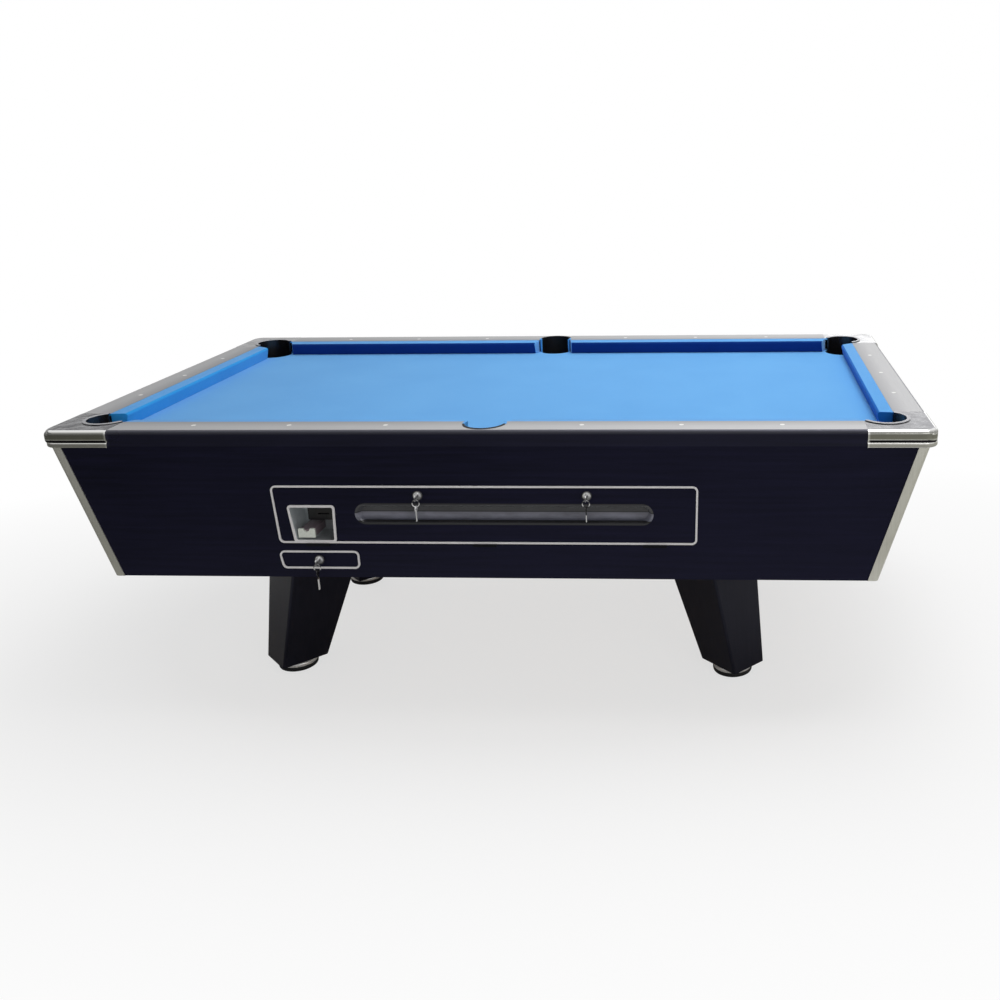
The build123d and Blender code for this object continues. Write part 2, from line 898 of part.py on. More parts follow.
mouth_low = slate_top - slate_gap
with BuildPart() as near_right_liner:
    add(pocket_ring(corner_x, -corner_y, corner_pocket_r, corner_lip, corner_lip_rise, corner_lip_round))
    mouth_z = (mouth_low, table_height + corner_lip_rise)
    block((nose_x / 2, rail_in_x), (-rail_in_y, 0), mouth_z, mode=Mode.SUBTRACT)
save_at_corners(near_right_liner.part, "liner")

with BuildPart() as near_side_liner:
    add(pocket_ring(0, -side_y, side_pocket_r, side_lip, side_lip_rise, side_lip_round))
    mouth_z = (mouth_low, table_height + side_lip_rise)
    block((-nose_x, nose_x), (-rail_in_y, 0), mouth_z, mode=Mode.SUBTRACT)
save(near_side_liner.part, "near_side_liner")
save(mirror(near_side_liner.part, about=Plane.XZ), "far_side_liner")

# Legs, turned to face the corners, and their levelling feet
for sx, end in ((-1, "left"), (1, "right")):
    foot_x = sx * leg_foot_x + leg_foot_shift
    top_x = sx * leg_top_x + leg_top_shift
    with BuildPart() as near_leg:
        with BuildSketch(Plane((foot_x, -leg_foot_y, leg_clear))):
            RectangleRounded(leg_foot_depth, leg_foot_face, leg_edge_round, rotation=-45 * sx)
        with BuildSketch(Plane((top_x, -leg_top_y, cabinet_bottom))):
            RectangleRounded(leg_top_depth, leg_top_face, leg_edge_round, rotation=-45 * sx)
        loft(ruled=True)
        with Locations((foot_x, -leg_foot_y, leg_clear + stud_bore / 2)):
            Cylinder(stud_r + stud_gap, stud_bore, mode=Mode.SUBTRACT)
        with Locations(*[(x, y, cabinet_bottom) for x, y in leg_bolt_spots]):
            Cylinder(
                bolt_r + bolt_hole_gap,
                leg_bolt_grip + bolt_hole_gap,
                align=(Align.CENTER, Align.CENTER, Align.MAX),
                mode=Mode.SUBTRACT,
            )
    save(near_leg.part, f"near_{end}_leg")
    save(mirror(near_leg.part, about=Plane.XZ), f"far_{end}_leg")

cup_base = foot_pad + glue_gap
with BuildPart() as near_right_foot:
    with Locations((leg_foot_x, -leg_foot_y, 0)):
        Cylinder(foot_r, foot_pad, align=(Align.CENTER, Align.CENTER, Align.MIN))
    fillet(near_right_foot.edges().group_by(Axis.Z)[0], foot_pad_round)
    with Locations((leg_foot_x, -leg_foot_y, cup_base)):
        Cylinder(foot_cup_r, foot_cup, align=(Align.CENTER, Align.CENTER, Align.MIN))
    fillet(near_right_foot.edges().group_by(Axis.Z)[-1], foot_cup_round)
    with Locations((leg_foot_x, -leg_foot_y, cup_base)):
        Cylinder(
            stud_r,
            leg_clear - cup_base + stud_length,
            align=(Align.CENTER, Align.CENTER, Align.MIN),
        )
save_at_corners(near_right_foot.part, "foot", leg_foot_shift)

# Gullies under the pockets: boards that hang from the slate frame and slope to a drop at the right
drop_left = drop_x - ball_way / 2
drop_right = drop_x + ball_way / 2
gully_runs = [(-gully_end_x, drop_left), (drop_right, gully_end_x)]
board_z = (gully_bottom, beam_bottom)
drop_z = beam_bottom - gully_depth_drop
long_fall = sloped_floor((-gully_end_x, beam_bottom - gully_depth_left), (drop_left, drop_z), gully_board)
short_fall = sloped_floor((drop_right, drop_z), (gully_end_x, beam_bottom - gully_depth_right), gully_board)
cross_rear_z = gully_bottom - cross_depth_rear
cross_front_z = gully_bottom - cross_depth_front
cross_fall = sloped_floor((trough_rear_y + glue_gap, cross_front_z), (way_high, cross_rear_z), gully_board)
turn_right = drop_right - glue_gap
turn_z = cross_front_z - turn_step
corner_fall = sloped_floor((drop_left, turn_z - turn_fall_depth), (turn_right, turn_z), gully_board)
ramp_high = liner_bottom - ramp_gap
ramp_low = beam_bottom + ramp_step
ramp = sloped_floor((glue_gap - inner_y, ramp_high), (-way_high, ramp_low), ramp_thick)
cross_z = (gully_bottom - cross_height, gully_bottom - glue_gap)
cross_left = drop_left - gully_board
cross_right = drop_right + gully_board

with BuildPart() as ball_gullies:
    floor_y = (way_low + glue_gap - corner_y, way_high - glue_gap - corner_y)
    for side in (-corner_y, corner_y):
        add(side_plate(long_fall, (floor_y[0] + side, floor_y[1] + side)))
        add(side_plate(short_fall, (floor_y[0] + side, floor_y[1] + side)))
    for run in gully_runs:
        block(run, (-way_high - gully_board, -way_high), board_z)
        block(run, (-way_low, gully_board - way_low), board_z)
        block(run, (way_low - gully_board, way_low), board_z)
    block((-gully_end_x, gully_end_x), (way_high, way_high + gully_board), board_z)
    side_ramp = cross_plate(ramp, (-side_pocket_r, side_pocket_r))
    add(side_ramp)
    add(mirror(side_ramp, about=Plane.XZ, mode=Mode.PRIVATE))
    block((cross_left, drop_left), (trough_rear_y + trough_board, way_high + gully_board), cross_z)
    block((drop_right, cross_right), (trough_front_y, way_high + gully_board), cross_z)
    add(cross_plate(cross_fall, (drop_left + glue_gap, turn_right)))
    add(side_plate(corner_fall, (trough_front_y, trough_rear_y)))
save(ball_gullies.part, "ball_gullies")

# Trough behind the window, which holds the played balls until the gate opens
trough_x = (trough_left, trough_right)
trough_floor_right = window_z - trough_right_drop
trough_front_top = window_z - trough_front_drop
trough_rear_top = gully_bottom - trough_rear_gap
trough_fall = sloped_floor((trough_left, trough_floor_left), (trough_right, trough_floor_right), trough_floor)

with BuildPart() as ball_trough:
    block(trough_x, (trough_front_y, trough_inner_y), (floor_top, trough_front_top))
    block(trough_x, (trough_rear_y, trough_rear_y + trough_board), (floor_top, trough_rear_top))
    add(side_plate(trough_fall, (trough_inner_y + glue_gap, trough_rear_y - glue_gap)))
save(ball_trough.part, "ball_trough")

# Return chute: back from the gate, then left to the tray
leg_low = return_leg_y - trough_way / 2
leg_high = return_leg_y + trough_way / 2
turn_fall = sloped_floor((trough_front_y, return_floor_start), (leg_low, return_floor_turn), trough_floor)
tray_left = tray_gap + end_run - end_x(floor_top)
return_end_x = tray_left + tray_depth
leg_right = chute_right - glue_gap
leg_fall = sloped_floor((return_end_x, return_floor_end), (leg_right, return_floor_leg), trough_floor)
return_leg_top = return_floor_leg + return_leg_rise
outer_board = (chute_left - trough_board, chute_left)
leg_front_run = (return_end_x, chute_left - trough_board - glue_gap)
leg_z = (floor_top, return_leg_top)
guide_front = gate_front - trough_board
guide_run = (guide_front, guide_front + slide_travel + 2 * trough_board)

with BuildPart() as return_chute:
    block(outer_board, (trough_front_y, leg_low), (floor_top, return_board_top))
    block((chute_right, trough_left), (trough_rear_y + trough_board, leg_high), (floor_top, return_board_top))
    block(outer_board, guide_run, (return_board_top + glue_gap, guide_top))
    add(cross_plate(turn_fall, (chute_left + glue_gap, leg_right)))
    block(leg_front_run, (leg_low - trough_board, leg_low), leg_z)
    block((return_end_x, trough_left), (leg_high + glue_gap, leg_high + trough_board), leg_z)
    add(side_plate(leg_fall, (leg_low + glue_gap, leg_high - glue_gap)))
save(return_chute.part, "return_chute")

tray_x = (tray_left, return_end_x - glue_gap)
tray_back_top = tray_floor + tray_back_rise
tray_y = (return_leg_y - tray_width / 2, return_leg_y + tray_width / 2)
tray_in_x = (tray_x[0] + trough_board, tray_x[1] - trough_board)
tray_in_y = (tray_y[0] + trough_board, tray_y[1] - trough_board)
floor_x = (tray_in_x[0] + glue_gap, tray_in_x[1] - glue_gap)
with BuildPart() as return_tray:
    block((tray_x[0], tray_in_x[0]), tray_y, (floor_top, tray_lip_top))
    block((tray_in_x[1], tray_x[1]), tray_y, (floor_top, tray_back_top))
    block(floor_x, (tray_y[0], tray_in_y[0]), (floor_top, tray_lip_top))
    block(floor_x, (tray_in_y[1], tray_y[1]), (floor_top, tray_lip_top))
    floor_y = (tray_in_y[0] + glue_gap, tray_in_y[1] - glue_gap)
    block(floor_x, floor_y, (tray_floor - trough_floor, tray_floor))
save(return_tray.part, "return_tray")


# Door, with cut-outs for the window, the coin recess and two locks
def recess_outline(inset):
    """The coin recess, narrower towards its foot, drawn in by inset."""
    return [
        (recess_left + inset, recess_top - inset),
        (recess_right - inset, recess_top - inset),
        (recess_right - recess_taper_right - inset, recess_bottom + inset),
        (recess_left + recess_taper_left + inset, recess_bottom + inset),
    ]


door_locks = [(window_x - lock_spread, lock_z), (window_x + lock_spread, lock_z)]
with BuildPart() as door_panel:
    with BuildSketch(Plane.XZ.offset(inner_y)):
        add(door_face(0))
        with Locations((window_x, window_z)):
            SlotOverall(window_length + 2 * recess_gap, window_height + 2 * recess_gap, mode=Mode.SUBTRACT)
        with Locations(*door_locks):
            Circle(lock_barrel_r + lock_hole_gap, mode=Mode.SUBTRACT)
    extrude(amount=panel_thick)
    add(side_plate(recess_outline(-recess_gap), (-front_y, -inner_y)), mode=Mode.SUBTRACT)
save(door_panel.part, "door_panel")


def flat_ring(outer, inner, outer_round, inner_round):
    """A flat strip on the cabinet's face, between two outlines with rounded corners."""
    with BuildPart() as strip:
        with BuildSketch(Plane.XZ.offset(front_y)):
            add(rounded_face(outer, outer_round))
            add(rounded_face(inner, inner_round), mode=Mode.SUBTRACT)
        extrude(amount=strip_proud)
    return strip.part


def outline_strip(left, right, z, taper_left, taper_right):
    """The pale strip round a door, whose outer edge lies between two values of X and of Z."""
    return flat_ring(
        tapered(left, right, z, taper_left, taper_right),
        tapered(left, right, z, taper_left, taper_right, -strip_width),
        strip_round,
        strip_round - strip_width,
    )


strip_z = (door_bottom, door_top + strip_lip)
bezel_in_round = bezel_round - bezel_width
strip_x = (door_left - strip_lip, door_right + strip_lip)
with BuildPart() as door_trim:
    add(outline_strip(*strip_x, strip_z, door_taper_left, door_taper_right))
    add(flat_ring(recess_outline(-bezel_width), recess_outline(recess_wall), bezel_round, bezel_in_round))
save(door_trim.part, "door_trim")

# Door hinge: knuckles with pins on the cabinet, and knuckles between them on the door
hinge_axis = Plane((0, hinge_y, hinge_z), x_dir=(0, 1, 0), z_dir=(1, 0, 0))


def knuckle(left, right, radius):
    """A length of hinge barrel along X."""
    with BuildPart() as barrel:
        with BuildSketch(hinge_axis.offset(left)):
            Circle(radius)
        extrude(amount=right - left)
    return barrel.part


leaf_y = (hinge_y, hinge_leaf_depth - front_y)
frame_leaf_z = (door_bottom - door_gap, door_bottom - door_gap + hinge_leaf)
door_leaf_z = (door_bottom - hinge_leaf, door_bottom)
mid_half = hinge_length / 2 - hinge_knuckle
hinge_places = (door_left + hinge_set, door_shift, door_right - hinge_set)

with BuildPart() as hinge_frame:
    for x in hinge_places:
        ends = [(x - hinge_length / 2, x - mid_half), (x + mid_half, x + hinge_length / 2)]
        for left, right in ends:
            add(knuckle(left, right, hinge_r))
            block((left, right), leaf_y, frame_leaf_z)
        add(knuckle(ends[0][0], ends[1][1], hinge_pin_r))
save(hinge_frame.part, "hinge_frame")

with BuildPart() as door_hinge:
    for x in hinge_places:
        middle = (x - mid_half + knuckle_play, x + mid_half - knuckle_play)
        add(knuckle(*middle, hinge_r))
        block(middle, leaf_y, door_leaf_z)
        add(knuckle(*middle, hinge_pin_r + hinge_play), mode=Mode.SUBTRACT)
save(door_hinge.part, "door_hinge")


# Ball window: a dished slot with a lip on the door's face
def dish(length, height, depth):
    """A slot at the door's face that narrows towards its back."""
    with BuildPart() as form:
        with BuildSketch(Plane.XZ.offset(front_y)):
            with Locations((window_x, window_z)):
                SlotOverall(length, height)
        with BuildSketch(Plane.XZ.offset(front_y - depth)):
            with Locations((window_x, window_z)):
                SlotOverall(length - 2 * window_draft, height - 2 * window_draft)
        loft(ruled=True)
    return form.part


with BuildPart() as ball_window:
    add(dish(window_length, window_height, window_depth))
    with BuildSketch(Plane.XZ.offset(front_y)):
        with Locations((window_x, window_z)):
            SlotOverall(window_length + 2 * window_lip, window_height + 2 * window_lip)
            SlotOverall(window_length - 2 * window_wall, window_height - 2 * window_wall, mode=Mode.SUBTRACT)
    extrude(amount=window_lip_thick)
    add(
        dish(window_length - 2 * window_wall, window_height - 2 * window_wall, window_depth - window_wall),
        mode=Mode.SUBTRACT,
    )
save(ball_window.part, "ball_window")

# Coin recess with the coin head on its back wall, and the slide that is pushed in
slide_left = slide_mid_x - slide_tongue_width / 2
slide_right = slide_mid_x + slide_tongue_width / 2
recess_back_in = recess_back + recess_wall
base_top = slide_base - slide_play
base_front = recess_back + slide_travel

with BuildPart() as coin_recess:
    add(side_plate(recess_outline(0), (-front_y, -recess_back)))
    add(side_plate(recess_outline(recess_wall), (-front_y, -recess_back_in)), mode=Mode.SUBTRACT)
    block((slide_left, slide_right), (-base_front, -recess_back_in), (recess_bottom + recess_wall, base_top))
    block(
        (slide_left - slide_hole_gap, slide_right + slide_hole_gap),
        (-recess_back_in, -recess_back),
        (base_top, slide_base + slide_tongue_thick + slide_hole_gap),
        mode=Mode.SUBTRACT,
    )
save(coin_recess.part, "coin_recess")

head_right = recess_right - recess_wall - recess_taper_right
head_top = recess_top - 2 * recess_wall
head_front = recess_back_in + coin_head_thick
head_x = (head_right - coin_head_width, head_right)
head_z = (head_top - coin_head_height, head_top)
with BuildPart() as coin_head:
    block(head_x, (-head_front, -recess_back_in), head_z)
    for share in (1, 2):
        slot_z = head_top - share * coin_head_height / 3
        with Locations((head_right - coin_head_width / 2, -head_front + coin_slot_depth / 2, slot_z)):
            Box(coin_slot_width, coin_slot_depth, coin_slot_height, mode=Mode.SUBTRACT)
save(coin_head.part, "coin_head")

plate_front = -(front_y - slide_inset)
plate_back = plate_front + slide_plate_thick
plate_left = slide_mid_x - slide_plate_width / 2
plate_right = slide_mid_x + slide_plate_width / 2
with BuildPart() as coin_slide:
    block((plate_left, plate_right), (plate_front, plate_back), (slide_base, slide_base + slide_plate_height))
    block((slide_left, slide_right), (plate_back, -slide_tip), (slide_base, slide_base + slide_tongue_thick))
    with Locations((slide_mid_x, (plate_front + plate_back) / 2, slide_base + slide_plate_height)):
        Cylinder(slide_notch, slide_plate_thick, rotation=(90, 0, 0), mode=Mode.SUBTRACT)
save(coin_slide.part, "coin_slide")

# Release gate: the slide's tongue pushes its tab, and its plate leaves the end of the trough
gate_back = gate_front + gate_thick
gate_z = (gate_base, gate_base + gate_arm)
gate_plate_x = (chute_right + glue_gap, chute_right + glue_gap + gate_plate_thick)
tab_left = slide_mid_x - gate_tab_width / 2
with BuildPart() as release_gate:
    block((tab_left, gate_plate_x[1]), (gate_front, gate_back), gate_z)
    block((tab_left, tab_left + gate_tab_width), (gate_front, gate_back), (slide_base, gate_z[1]))
    block(gate_plate_x, (gate_back - gate_reach, gate_back), (return_board_top + gate_play, gate_z[1]))
save(release_gate.part, "release_gate")


# Cam locks: a case through the panel, and a plug with its cam, key, ring and spare key
def lock_case(spots):
    """Lock cases at the given places, bored for their plugs."""
    with BuildPart() as case:
        with BuildSketch(Plane.XZ.offset(front_y)):
            with Locations(*spots):
                Circle(lock_flange_r)
        extrude(amount=lock_flange)
        fillet(case.edges().filter_by(GeomType.CIRCLE).group_by(Axis.Y)[0], lock_flange / 2)
        with BuildSketch(Plane.XZ.offset(inner_y)):
            with Locations(*spots):
                Circle(lock_barrel_r)
        extrude(amount=panel_thick)
        with BuildSketch(Plane.XZ.offset(lock_back)):
            with Locations(*spots):
                RegularPolygon(lock_flange_r, 6)
        extrude(amount=lock_nut)
        with BuildSketch(Plane.XZ.offset(lock_back)):
            with Locations(*spots):
                Circle(plug_r + plug_play)
        extrude(amount=key_tip, mode=Mode.SUBTRACT)
    return case.part


def lock_plug(x, z, cam_length, spare_blade):
    """A plug with its cam lying to the left, the key in it, and a spare key on the ring below."""
    with BuildPart() as plug:
        with BuildSketch(Plane.XZ.offset(cam_front - cam_thick)):
            with Locations((x, z)):
                Circle(plug_r)
        extrude(amount=front_y + lock_flange + plug_proud - cam_front + cam_thick)
        with BuildSketch(Plane.XZ.offset(cam_front - cam_thick)):
            with Locations((x - (cam_length - cam_width / 2) / 2, z)):
                SlotOverall(cam_length + cam_width / 2, cam_width)
        extrude(amount=cam_thick)
        with BuildSketch(Plane.YZ.offset(x - key_thick / 2)):
            with Locations((-(key_tip - key_reach / 2), z)):
                RectangleRounded(key_reach, key_bow_height, key_bow_round)
            with Locations((-key_hole_y, z - key_hole_drop)):
                Circle(key_hole_r, mode=Mode.SUBTRACT)
        extrude(amount=key_thick)
        wire_z = z - key_hole_drop - key_hole_r + ring_wire_r + ring_play
        with Locations(Location((x, -key_hole_y, wire_z - ring_r), (90, 0, 0))):
            Torus(ring_r, ring_wire_r)
        spare_hole_z = wire_z - 2 * ring_r - key_hole_r + ring_wire_r + ring_play
        spare_bow_z = spare_hole_z + key_hole_r + spare_bow_wall - spare_bow_r
        blade_length = spare_bow_r + spare_blade
        with BuildSketch(Plane.YZ.offset(x - key_thick / 2)):
            with Locations((-key_hole_y, spare_bow_z)):
                Circle(spare_bow_r)
            with Locations((-key_hole_y, spare_bow_z - blade_length / 2)):
                Rectangle(spare_blade_width, blade_length)
            with Locations((-key_hole_y, spare_hole_z)):
                Circle(key_hole_r, mode=Mode.SUBTRACT)
        extrude(amount=key_thick)
    return plug.part


with BuildPart() as door_lock_cases:
    add(lock_case(door_locks))
save(door_lock_cases.part, "door_lock_cases")

for side, (x, z) in zip(("left", "right"), door_locks):
    with BuildPart() as door_plug:
        add(lock_plug(x, z, door_cam_length, door_spare_blade))
    save(door_plug.part, f"{side}_lock_plug")

# Cash drawer under the coin recess
with BuildPart() as cash_drawer:
    with BuildSketch(Plane.XZ.offset(inner_y)):
        add(drawer_face(0))
        with Locations((drawer_mid_x, drawer_mid_z)):
            Circle(lock_barrel_r + lock_hole_gap, mode=Mode.SUBTRACT)
    extrude(amount=panel_thick)
    box_front = glue_gap - inner_y
    box_z = (drawer_box_bottom, drawer_box_bottom + drawer_box_height)
    left_in = drawer_box_left + drawer_box_wall
    right_in = drawer_box_right - drawer_box_wall
    back_in = drawer_back - drawer_box_wall
    block((drawer_box_left, left_in), (box_front, drawer_back), box_z)
    block((right_in, drawer_box_right), (box_front, drawer_back), box_z)
    block((left_in + glue_gap, right_in - glue_gap), (back_in, drawer_back), box_z)
    block(
        (left_in + glue_gap, right_in - glue_gap),
        (box_front, back_in - glue_gap),
        (drawer_box_bottom, drawer_box_bottom + drawer_box_wall),
    )
save(cash_drawer.part, "cash_drawer")

drawer_strip_z = (drawer_bottom - strip_lip, drawer_top + strip_lip)
with BuildPart() as drawer_trim:
    add(outline_strip(drawer_left - strip_lip, drawer_right + strip_lip, drawer_strip_z, drawer_taper, 0))
save(drawer_trim.part, "drawer_trim")

with BuildPart() as drawer_lock_case:
    add(lock_case([(drawer_mid_x, drawer_mid_z)]))
save(drawer_lock_case.part, "drawer_lock_case")

with BuildPart() as drawer_plug:
    add(lock_plug(drawer_mid_x, drawer_mid_z, drawer_cam_length, drawer_spare_blade))
save(drawer_plug.part, "drawer_lock_plug")
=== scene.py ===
# %% [markdown]
# # A coin-operated pool table
# This lesson dresses a finished construction model: slate, rails, cabinet, door, locks and legs are already
# there at their real size, in metres. What is left for Blender is what the eye reads first: blue cloth,
# brushed silver rails, bright corner castings and a black cabinet. The construction comes in as a frame.

from math import cos, radians, sin

import bmesh
import bpy
from mathutils import Matrix, Vector


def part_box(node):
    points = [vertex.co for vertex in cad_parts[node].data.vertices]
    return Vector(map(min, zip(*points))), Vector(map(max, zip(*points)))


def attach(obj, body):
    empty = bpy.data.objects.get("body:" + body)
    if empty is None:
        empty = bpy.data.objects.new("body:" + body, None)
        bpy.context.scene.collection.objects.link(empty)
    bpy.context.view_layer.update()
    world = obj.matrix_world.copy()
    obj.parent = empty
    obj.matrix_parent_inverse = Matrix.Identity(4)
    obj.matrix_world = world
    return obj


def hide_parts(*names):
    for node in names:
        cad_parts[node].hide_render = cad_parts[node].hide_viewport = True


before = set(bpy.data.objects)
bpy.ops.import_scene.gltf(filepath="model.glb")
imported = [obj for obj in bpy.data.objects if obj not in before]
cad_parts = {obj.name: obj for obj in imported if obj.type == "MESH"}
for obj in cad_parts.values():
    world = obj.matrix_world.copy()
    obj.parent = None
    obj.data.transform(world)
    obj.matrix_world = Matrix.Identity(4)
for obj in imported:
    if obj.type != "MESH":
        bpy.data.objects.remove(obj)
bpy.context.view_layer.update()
scene = bpy.context.scene
scene.view_settings.view_transform = "Standard"

# %% [markdown]
# ## The camera
# The picture to match was taken in front of the table, right of its middle and at about eye height. The
# camera's place, turn and focal length are real sizes. The picture was cropped off centre, which a lens shift
# repeats: turning the camera instead would change how the table's ends lean.

# %% Camera
camera_place = Vector((0.6164, -3.0353, 1.5166))
camera_yaw = -0.05912
camera_pitch = 0.26992
camera_roll = -0.01739
picture_pixels = 1000
focal_pixels = 1028.8
centre_pixel = (669.7, 420.0)
sensor_width = 36.0

forward = Vector((
    sin(camera_yaw) * cos(camera_pitch),
    cos(camera_yaw) * cos(camera_pitch),
    -sin(camera_pitch),
))
level_right = Vector((cos(camera_yaw), -sin(camera_yaw), 0))
level_up = level_right.cross(forward)
right = level_right * cos(camera_roll) + level_up * sin(camera_roll)
up = level_up * cos(camera_roll) - level_right * sin(camera_roll)

lens = bpy.data.cameras.new("picture_camera")
lens.sensor_width = sensor_width
lens.lens = sensor_width * focal_pixels / picture_pixels
lens.shift_x = 0.5 - centre_pixel[0] / picture_pixels
lens.shift_y = centre_pixel[1] / picture_pixels - 0.5
camera = bpy.data.objects.new("picture_camera", lens)
scene.collection.objects.link(camera)
turn = Matrix((right, up, -forward)).transposed().to_4x4()
camera.matrix_world = Matrix.Translation(camera_place) @ turn
scene.camera = camera
print("lens:", round(lens.lens, 2), "mm, shift:", round(lens.shift_x, 3), round(lens.shift_y, 3))

# %% [markdown]
# ## Reading sizes from the frame
# Every new piece takes its place from the construction, so nothing is fitted by eye. A node's box gives two
# corners, and from a few boxes come the heights and lines that the pieces below share.

# %% Shared heights and lines
bed_low, bed_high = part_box("bed_cloth")
tops_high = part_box("rail_tops")[1]
bed_z = bed_high.z
rail_z = tops_high.z
long_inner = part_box("far_rail")[0].y
end_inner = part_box("right_rail")[0].x
corners = ("near_left", "near_right", "far_left", "far_right")
print("bed at", round(bed_z, 4), "rail tops at", round(rail_z, 4))

# %% [markdown]
# ## Small tools for modelling
# Blender's operators act on whatever is selected, and loading the frame leaves all its nodes selected. These
# helpers deselect first, add a primitive at its place, and then choose faces, edges or points in code by
# where they lie, which stands in for clicking on them.


# %% Modelling helpers
def deselect():
    """Leave nothing selected, in object mode."""
    if bpy.context.object and bpy.context.object.mode != "OBJECT":
        bpy.ops.object.mode_set(mode="OBJECT")
    bpy.ops.object.select_all(action="DESELECT")


def pick(piece):
    """Select one piece alone and make it the active one."""
    deselect()
    piece.select_set(True)
    bpy.context.view_layer.objects.active = piece


def edit(piece):
    """Open one piece in edit mode with nothing selected."""
    pick(piece)
    bpy.ops.object.mode_set(mode="EDIT")
    bpy.ops.mesh.select_all(action="DESELECT")


def choose(kind, test):
    """Select the points, edges or faces of the open piece that pass a test, and nothing else."""
    bpy.ops.mesh.select_mode(type=kind)
    bpy.ops.mesh.select_all(action="DESELECT")
    mesh = bpy.context.edit_object.data
    form = bmesh.from_edit_mesh(mesh)
    for part in {"VERT": form.verts, "EDGE": form.edges, "FACE": form.faces}[kind]:
        if test(part):
            part.select_set(True)
    bmesh.update_edit_mesh(mesh)


def apply_place():
    """Put the active piece's place, turn and size into its mesh."""
    bpy.ops.object.transform_apply(location=True, rotation=True, scale=True)


def settle(piece, name, angle=30):
    """Leave edit mode, apply the piece's place, smooth its gentle edges and name it."""
    pick(piece)
    apply_place()
    bpy.ops.object.shade_smooth_by_angle(angle=radians(angle))
    piece.name = name
    piece.data.name = name


def box_between(low, high):
    """A block from one corner to the other, ready to be shaped."""
    deselect()
    bpy.ops.mesh.primitive_cube_add(size=1, location=(low + high) / 2, scale=high - low)
    apply_place()
    return bpy.context.object


print("modelling helpers ready")

# %% [markdown]
# ## Small tools for nodes
# A finish is a small network of nodes, and most of the work is making a node, filling its sockets and joining
# it to the next. A socket takes a plain number, a plain colour or another node's output, so one helper feeds
# all three. Patterns read Object coordinates, so that grain keeps its real size in metres on every piece.


# %% Node helpers
def node(material, kind, values=None, **settings):
    """A node with its settings and its socket values."""
    made = material.node_tree.nodes.new(kind)
    for key, value in settings.items():
        setattr(made, key, value)
    for key, value in (values or {}).items():
        made.inputs[key].default_value = value
    return made


def wire(material, source, target):
    """Join an output to an input."""
    material.node_tree.links.new(source, target)


def feed(material, value, socket):
    """Give a socket a number, a colour or another node's output."""
    if isinstance(value, (int, float)):
        socket.default_value = value
    elif isinstance(value, tuple):
        socket.default_value = (*value, 1)
    else:
        wire(material, value, socket)


def place_on(material, stretch=(1, 1, 1)):
    """Object coordinates, stretched by three factors."""
    where = node(material, "ShaderNodeTexCoord")
    mapping = node(material, "ShaderNodeMapping", {"Scale": stretch})
    wire(material, where.outputs["Object"], mapping.inputs["Vector"])
    return mapping.outputs["Vector"]


def along_axis(material, axis):
    """How far along one axis a surface lies, in metres."""
    place = node(material, "ShaderNodeSeparateXYZ")
    wire(material, place_on(material), place.inputs["Vector"])
    return place.outputs[axis]


def reckon(material, operation, *values):
    """One step of arithmetic on values."""
    made = node(material, "ShaderNodeMath", operation=operation)
    for index, value in enumerate(values):
        feed(material, value, made.inputs[index])
    return made.outputs["Value"]


def shift_range(material, value, low, high, to_low=0.0, to_high=1.0):
    """A value carried from one range to another."""
    made = node(material, "ShaderNodeMapRange", {
        "From Min": low, "From Max": high, "To Min": to_low, "To Max": to_high,
    })
    wire(material, value, made.inputs["Value"])
    return made.outputs["Result"]


def height_share(material, low, high):
    """How far up a surface lies between two heights, from 0 to 1."""
    return shift_range(material, along_axis(material, "Z"), low, high)


print("node helpers ready")

# %% [markdown]
# ## Small tools for finishes
# Each finish starts from the shader with its even values. Then a noise, stretched along the grain, becomes a
# colour by a ramp, gloss by a change of range, and relief by a bump of a real depth in metres.


# %% Finish helpers
def finish(name, color, roughness, metallic=0.0, specular=0.5):
    """A new material with its even values set on the shader."""
    material = bpy.data.materials.new(name)
    material.use_nodes = True
    shader = material.node_tree.nodes["Principled BSDF"]
    shader.inputs["Base Color"].default_value = (*color, 1)
    shader.inputs["Roughness"].default_value = roughness
    shader.inputs["Metallic"].default_value = metallic
    shader.inputs["Specular IOR Level"].default_value = specular
    return material, shader


def grain(material, scale, stretch=(1, 1, 1), detail=4.0):
    """A noise pattern over stretched coordinates, as one value."""
    noise = node(material, "ShaderNodeTexNoise", {"Scale": scale, "Detail": detail, "Roughness": 0.6})
    wire(material, place_on(material, stretch), noise.inputs["Vector"])
    return noise.outputs["Fac"]


def ramp(material, value, stops):
    """A colour ramp over a value, from (position, colour) pairs."""
    made = node(material, "ShaderNodeValToRGB")
    elements = made.color_ramp.elements
    while len(elements) < len(stops):
        elements.new(0.5)
    for element, (position, color) in zip(elements, stops):
        element.position = position
        element.color = (*color, 1)
    wire(material, value, made.inputs["Fac"])
    return made.outputs["Color"]


def two_tone(material, pattern, first, second, start=0.3, end=0.7):
    """A pattern's colour, from one tone to another over the middle of its range."""
    return ramp(material, pattern, [(start, first), (end, second)])


def blend_colors(material, share, first, second):
    """A mix of two colours."""
    made = node(material, "ShaderNodeMix", data_type="RGBA")
    feed(material, share, made.inputs["Factor"])
    color_sockets = [socket for socket in made.inputs if socket.type == "RGBA"]
    feed(material, first, color_sockets[0])
    feed(material, second, color_sockets[1])
    return [socket for socket in made.outputs if socket.type == "RGBA"][0]


def paint(material, shader, color):
    """Give the shader a colour that varies."""
    wire(material, color, shader.inputs["Base Color"])


def polish(material, shader, roughness):
    """Give the shader a roughness that varies."""
    wire(material, roughness, shader.inputs["Roughness"])


def dent(material, shader, height, depth, strength):
    """Bump on a shader, from a height value and its depth in metres."""
    bump = node(material, "ShaderNodeBump", {"Strength": strength, "Distance": depth})
    wire(material, height, bump.inputs["Height"])
    wire(material, bump.outputs["Normal"], shader.inputs["Normal"])


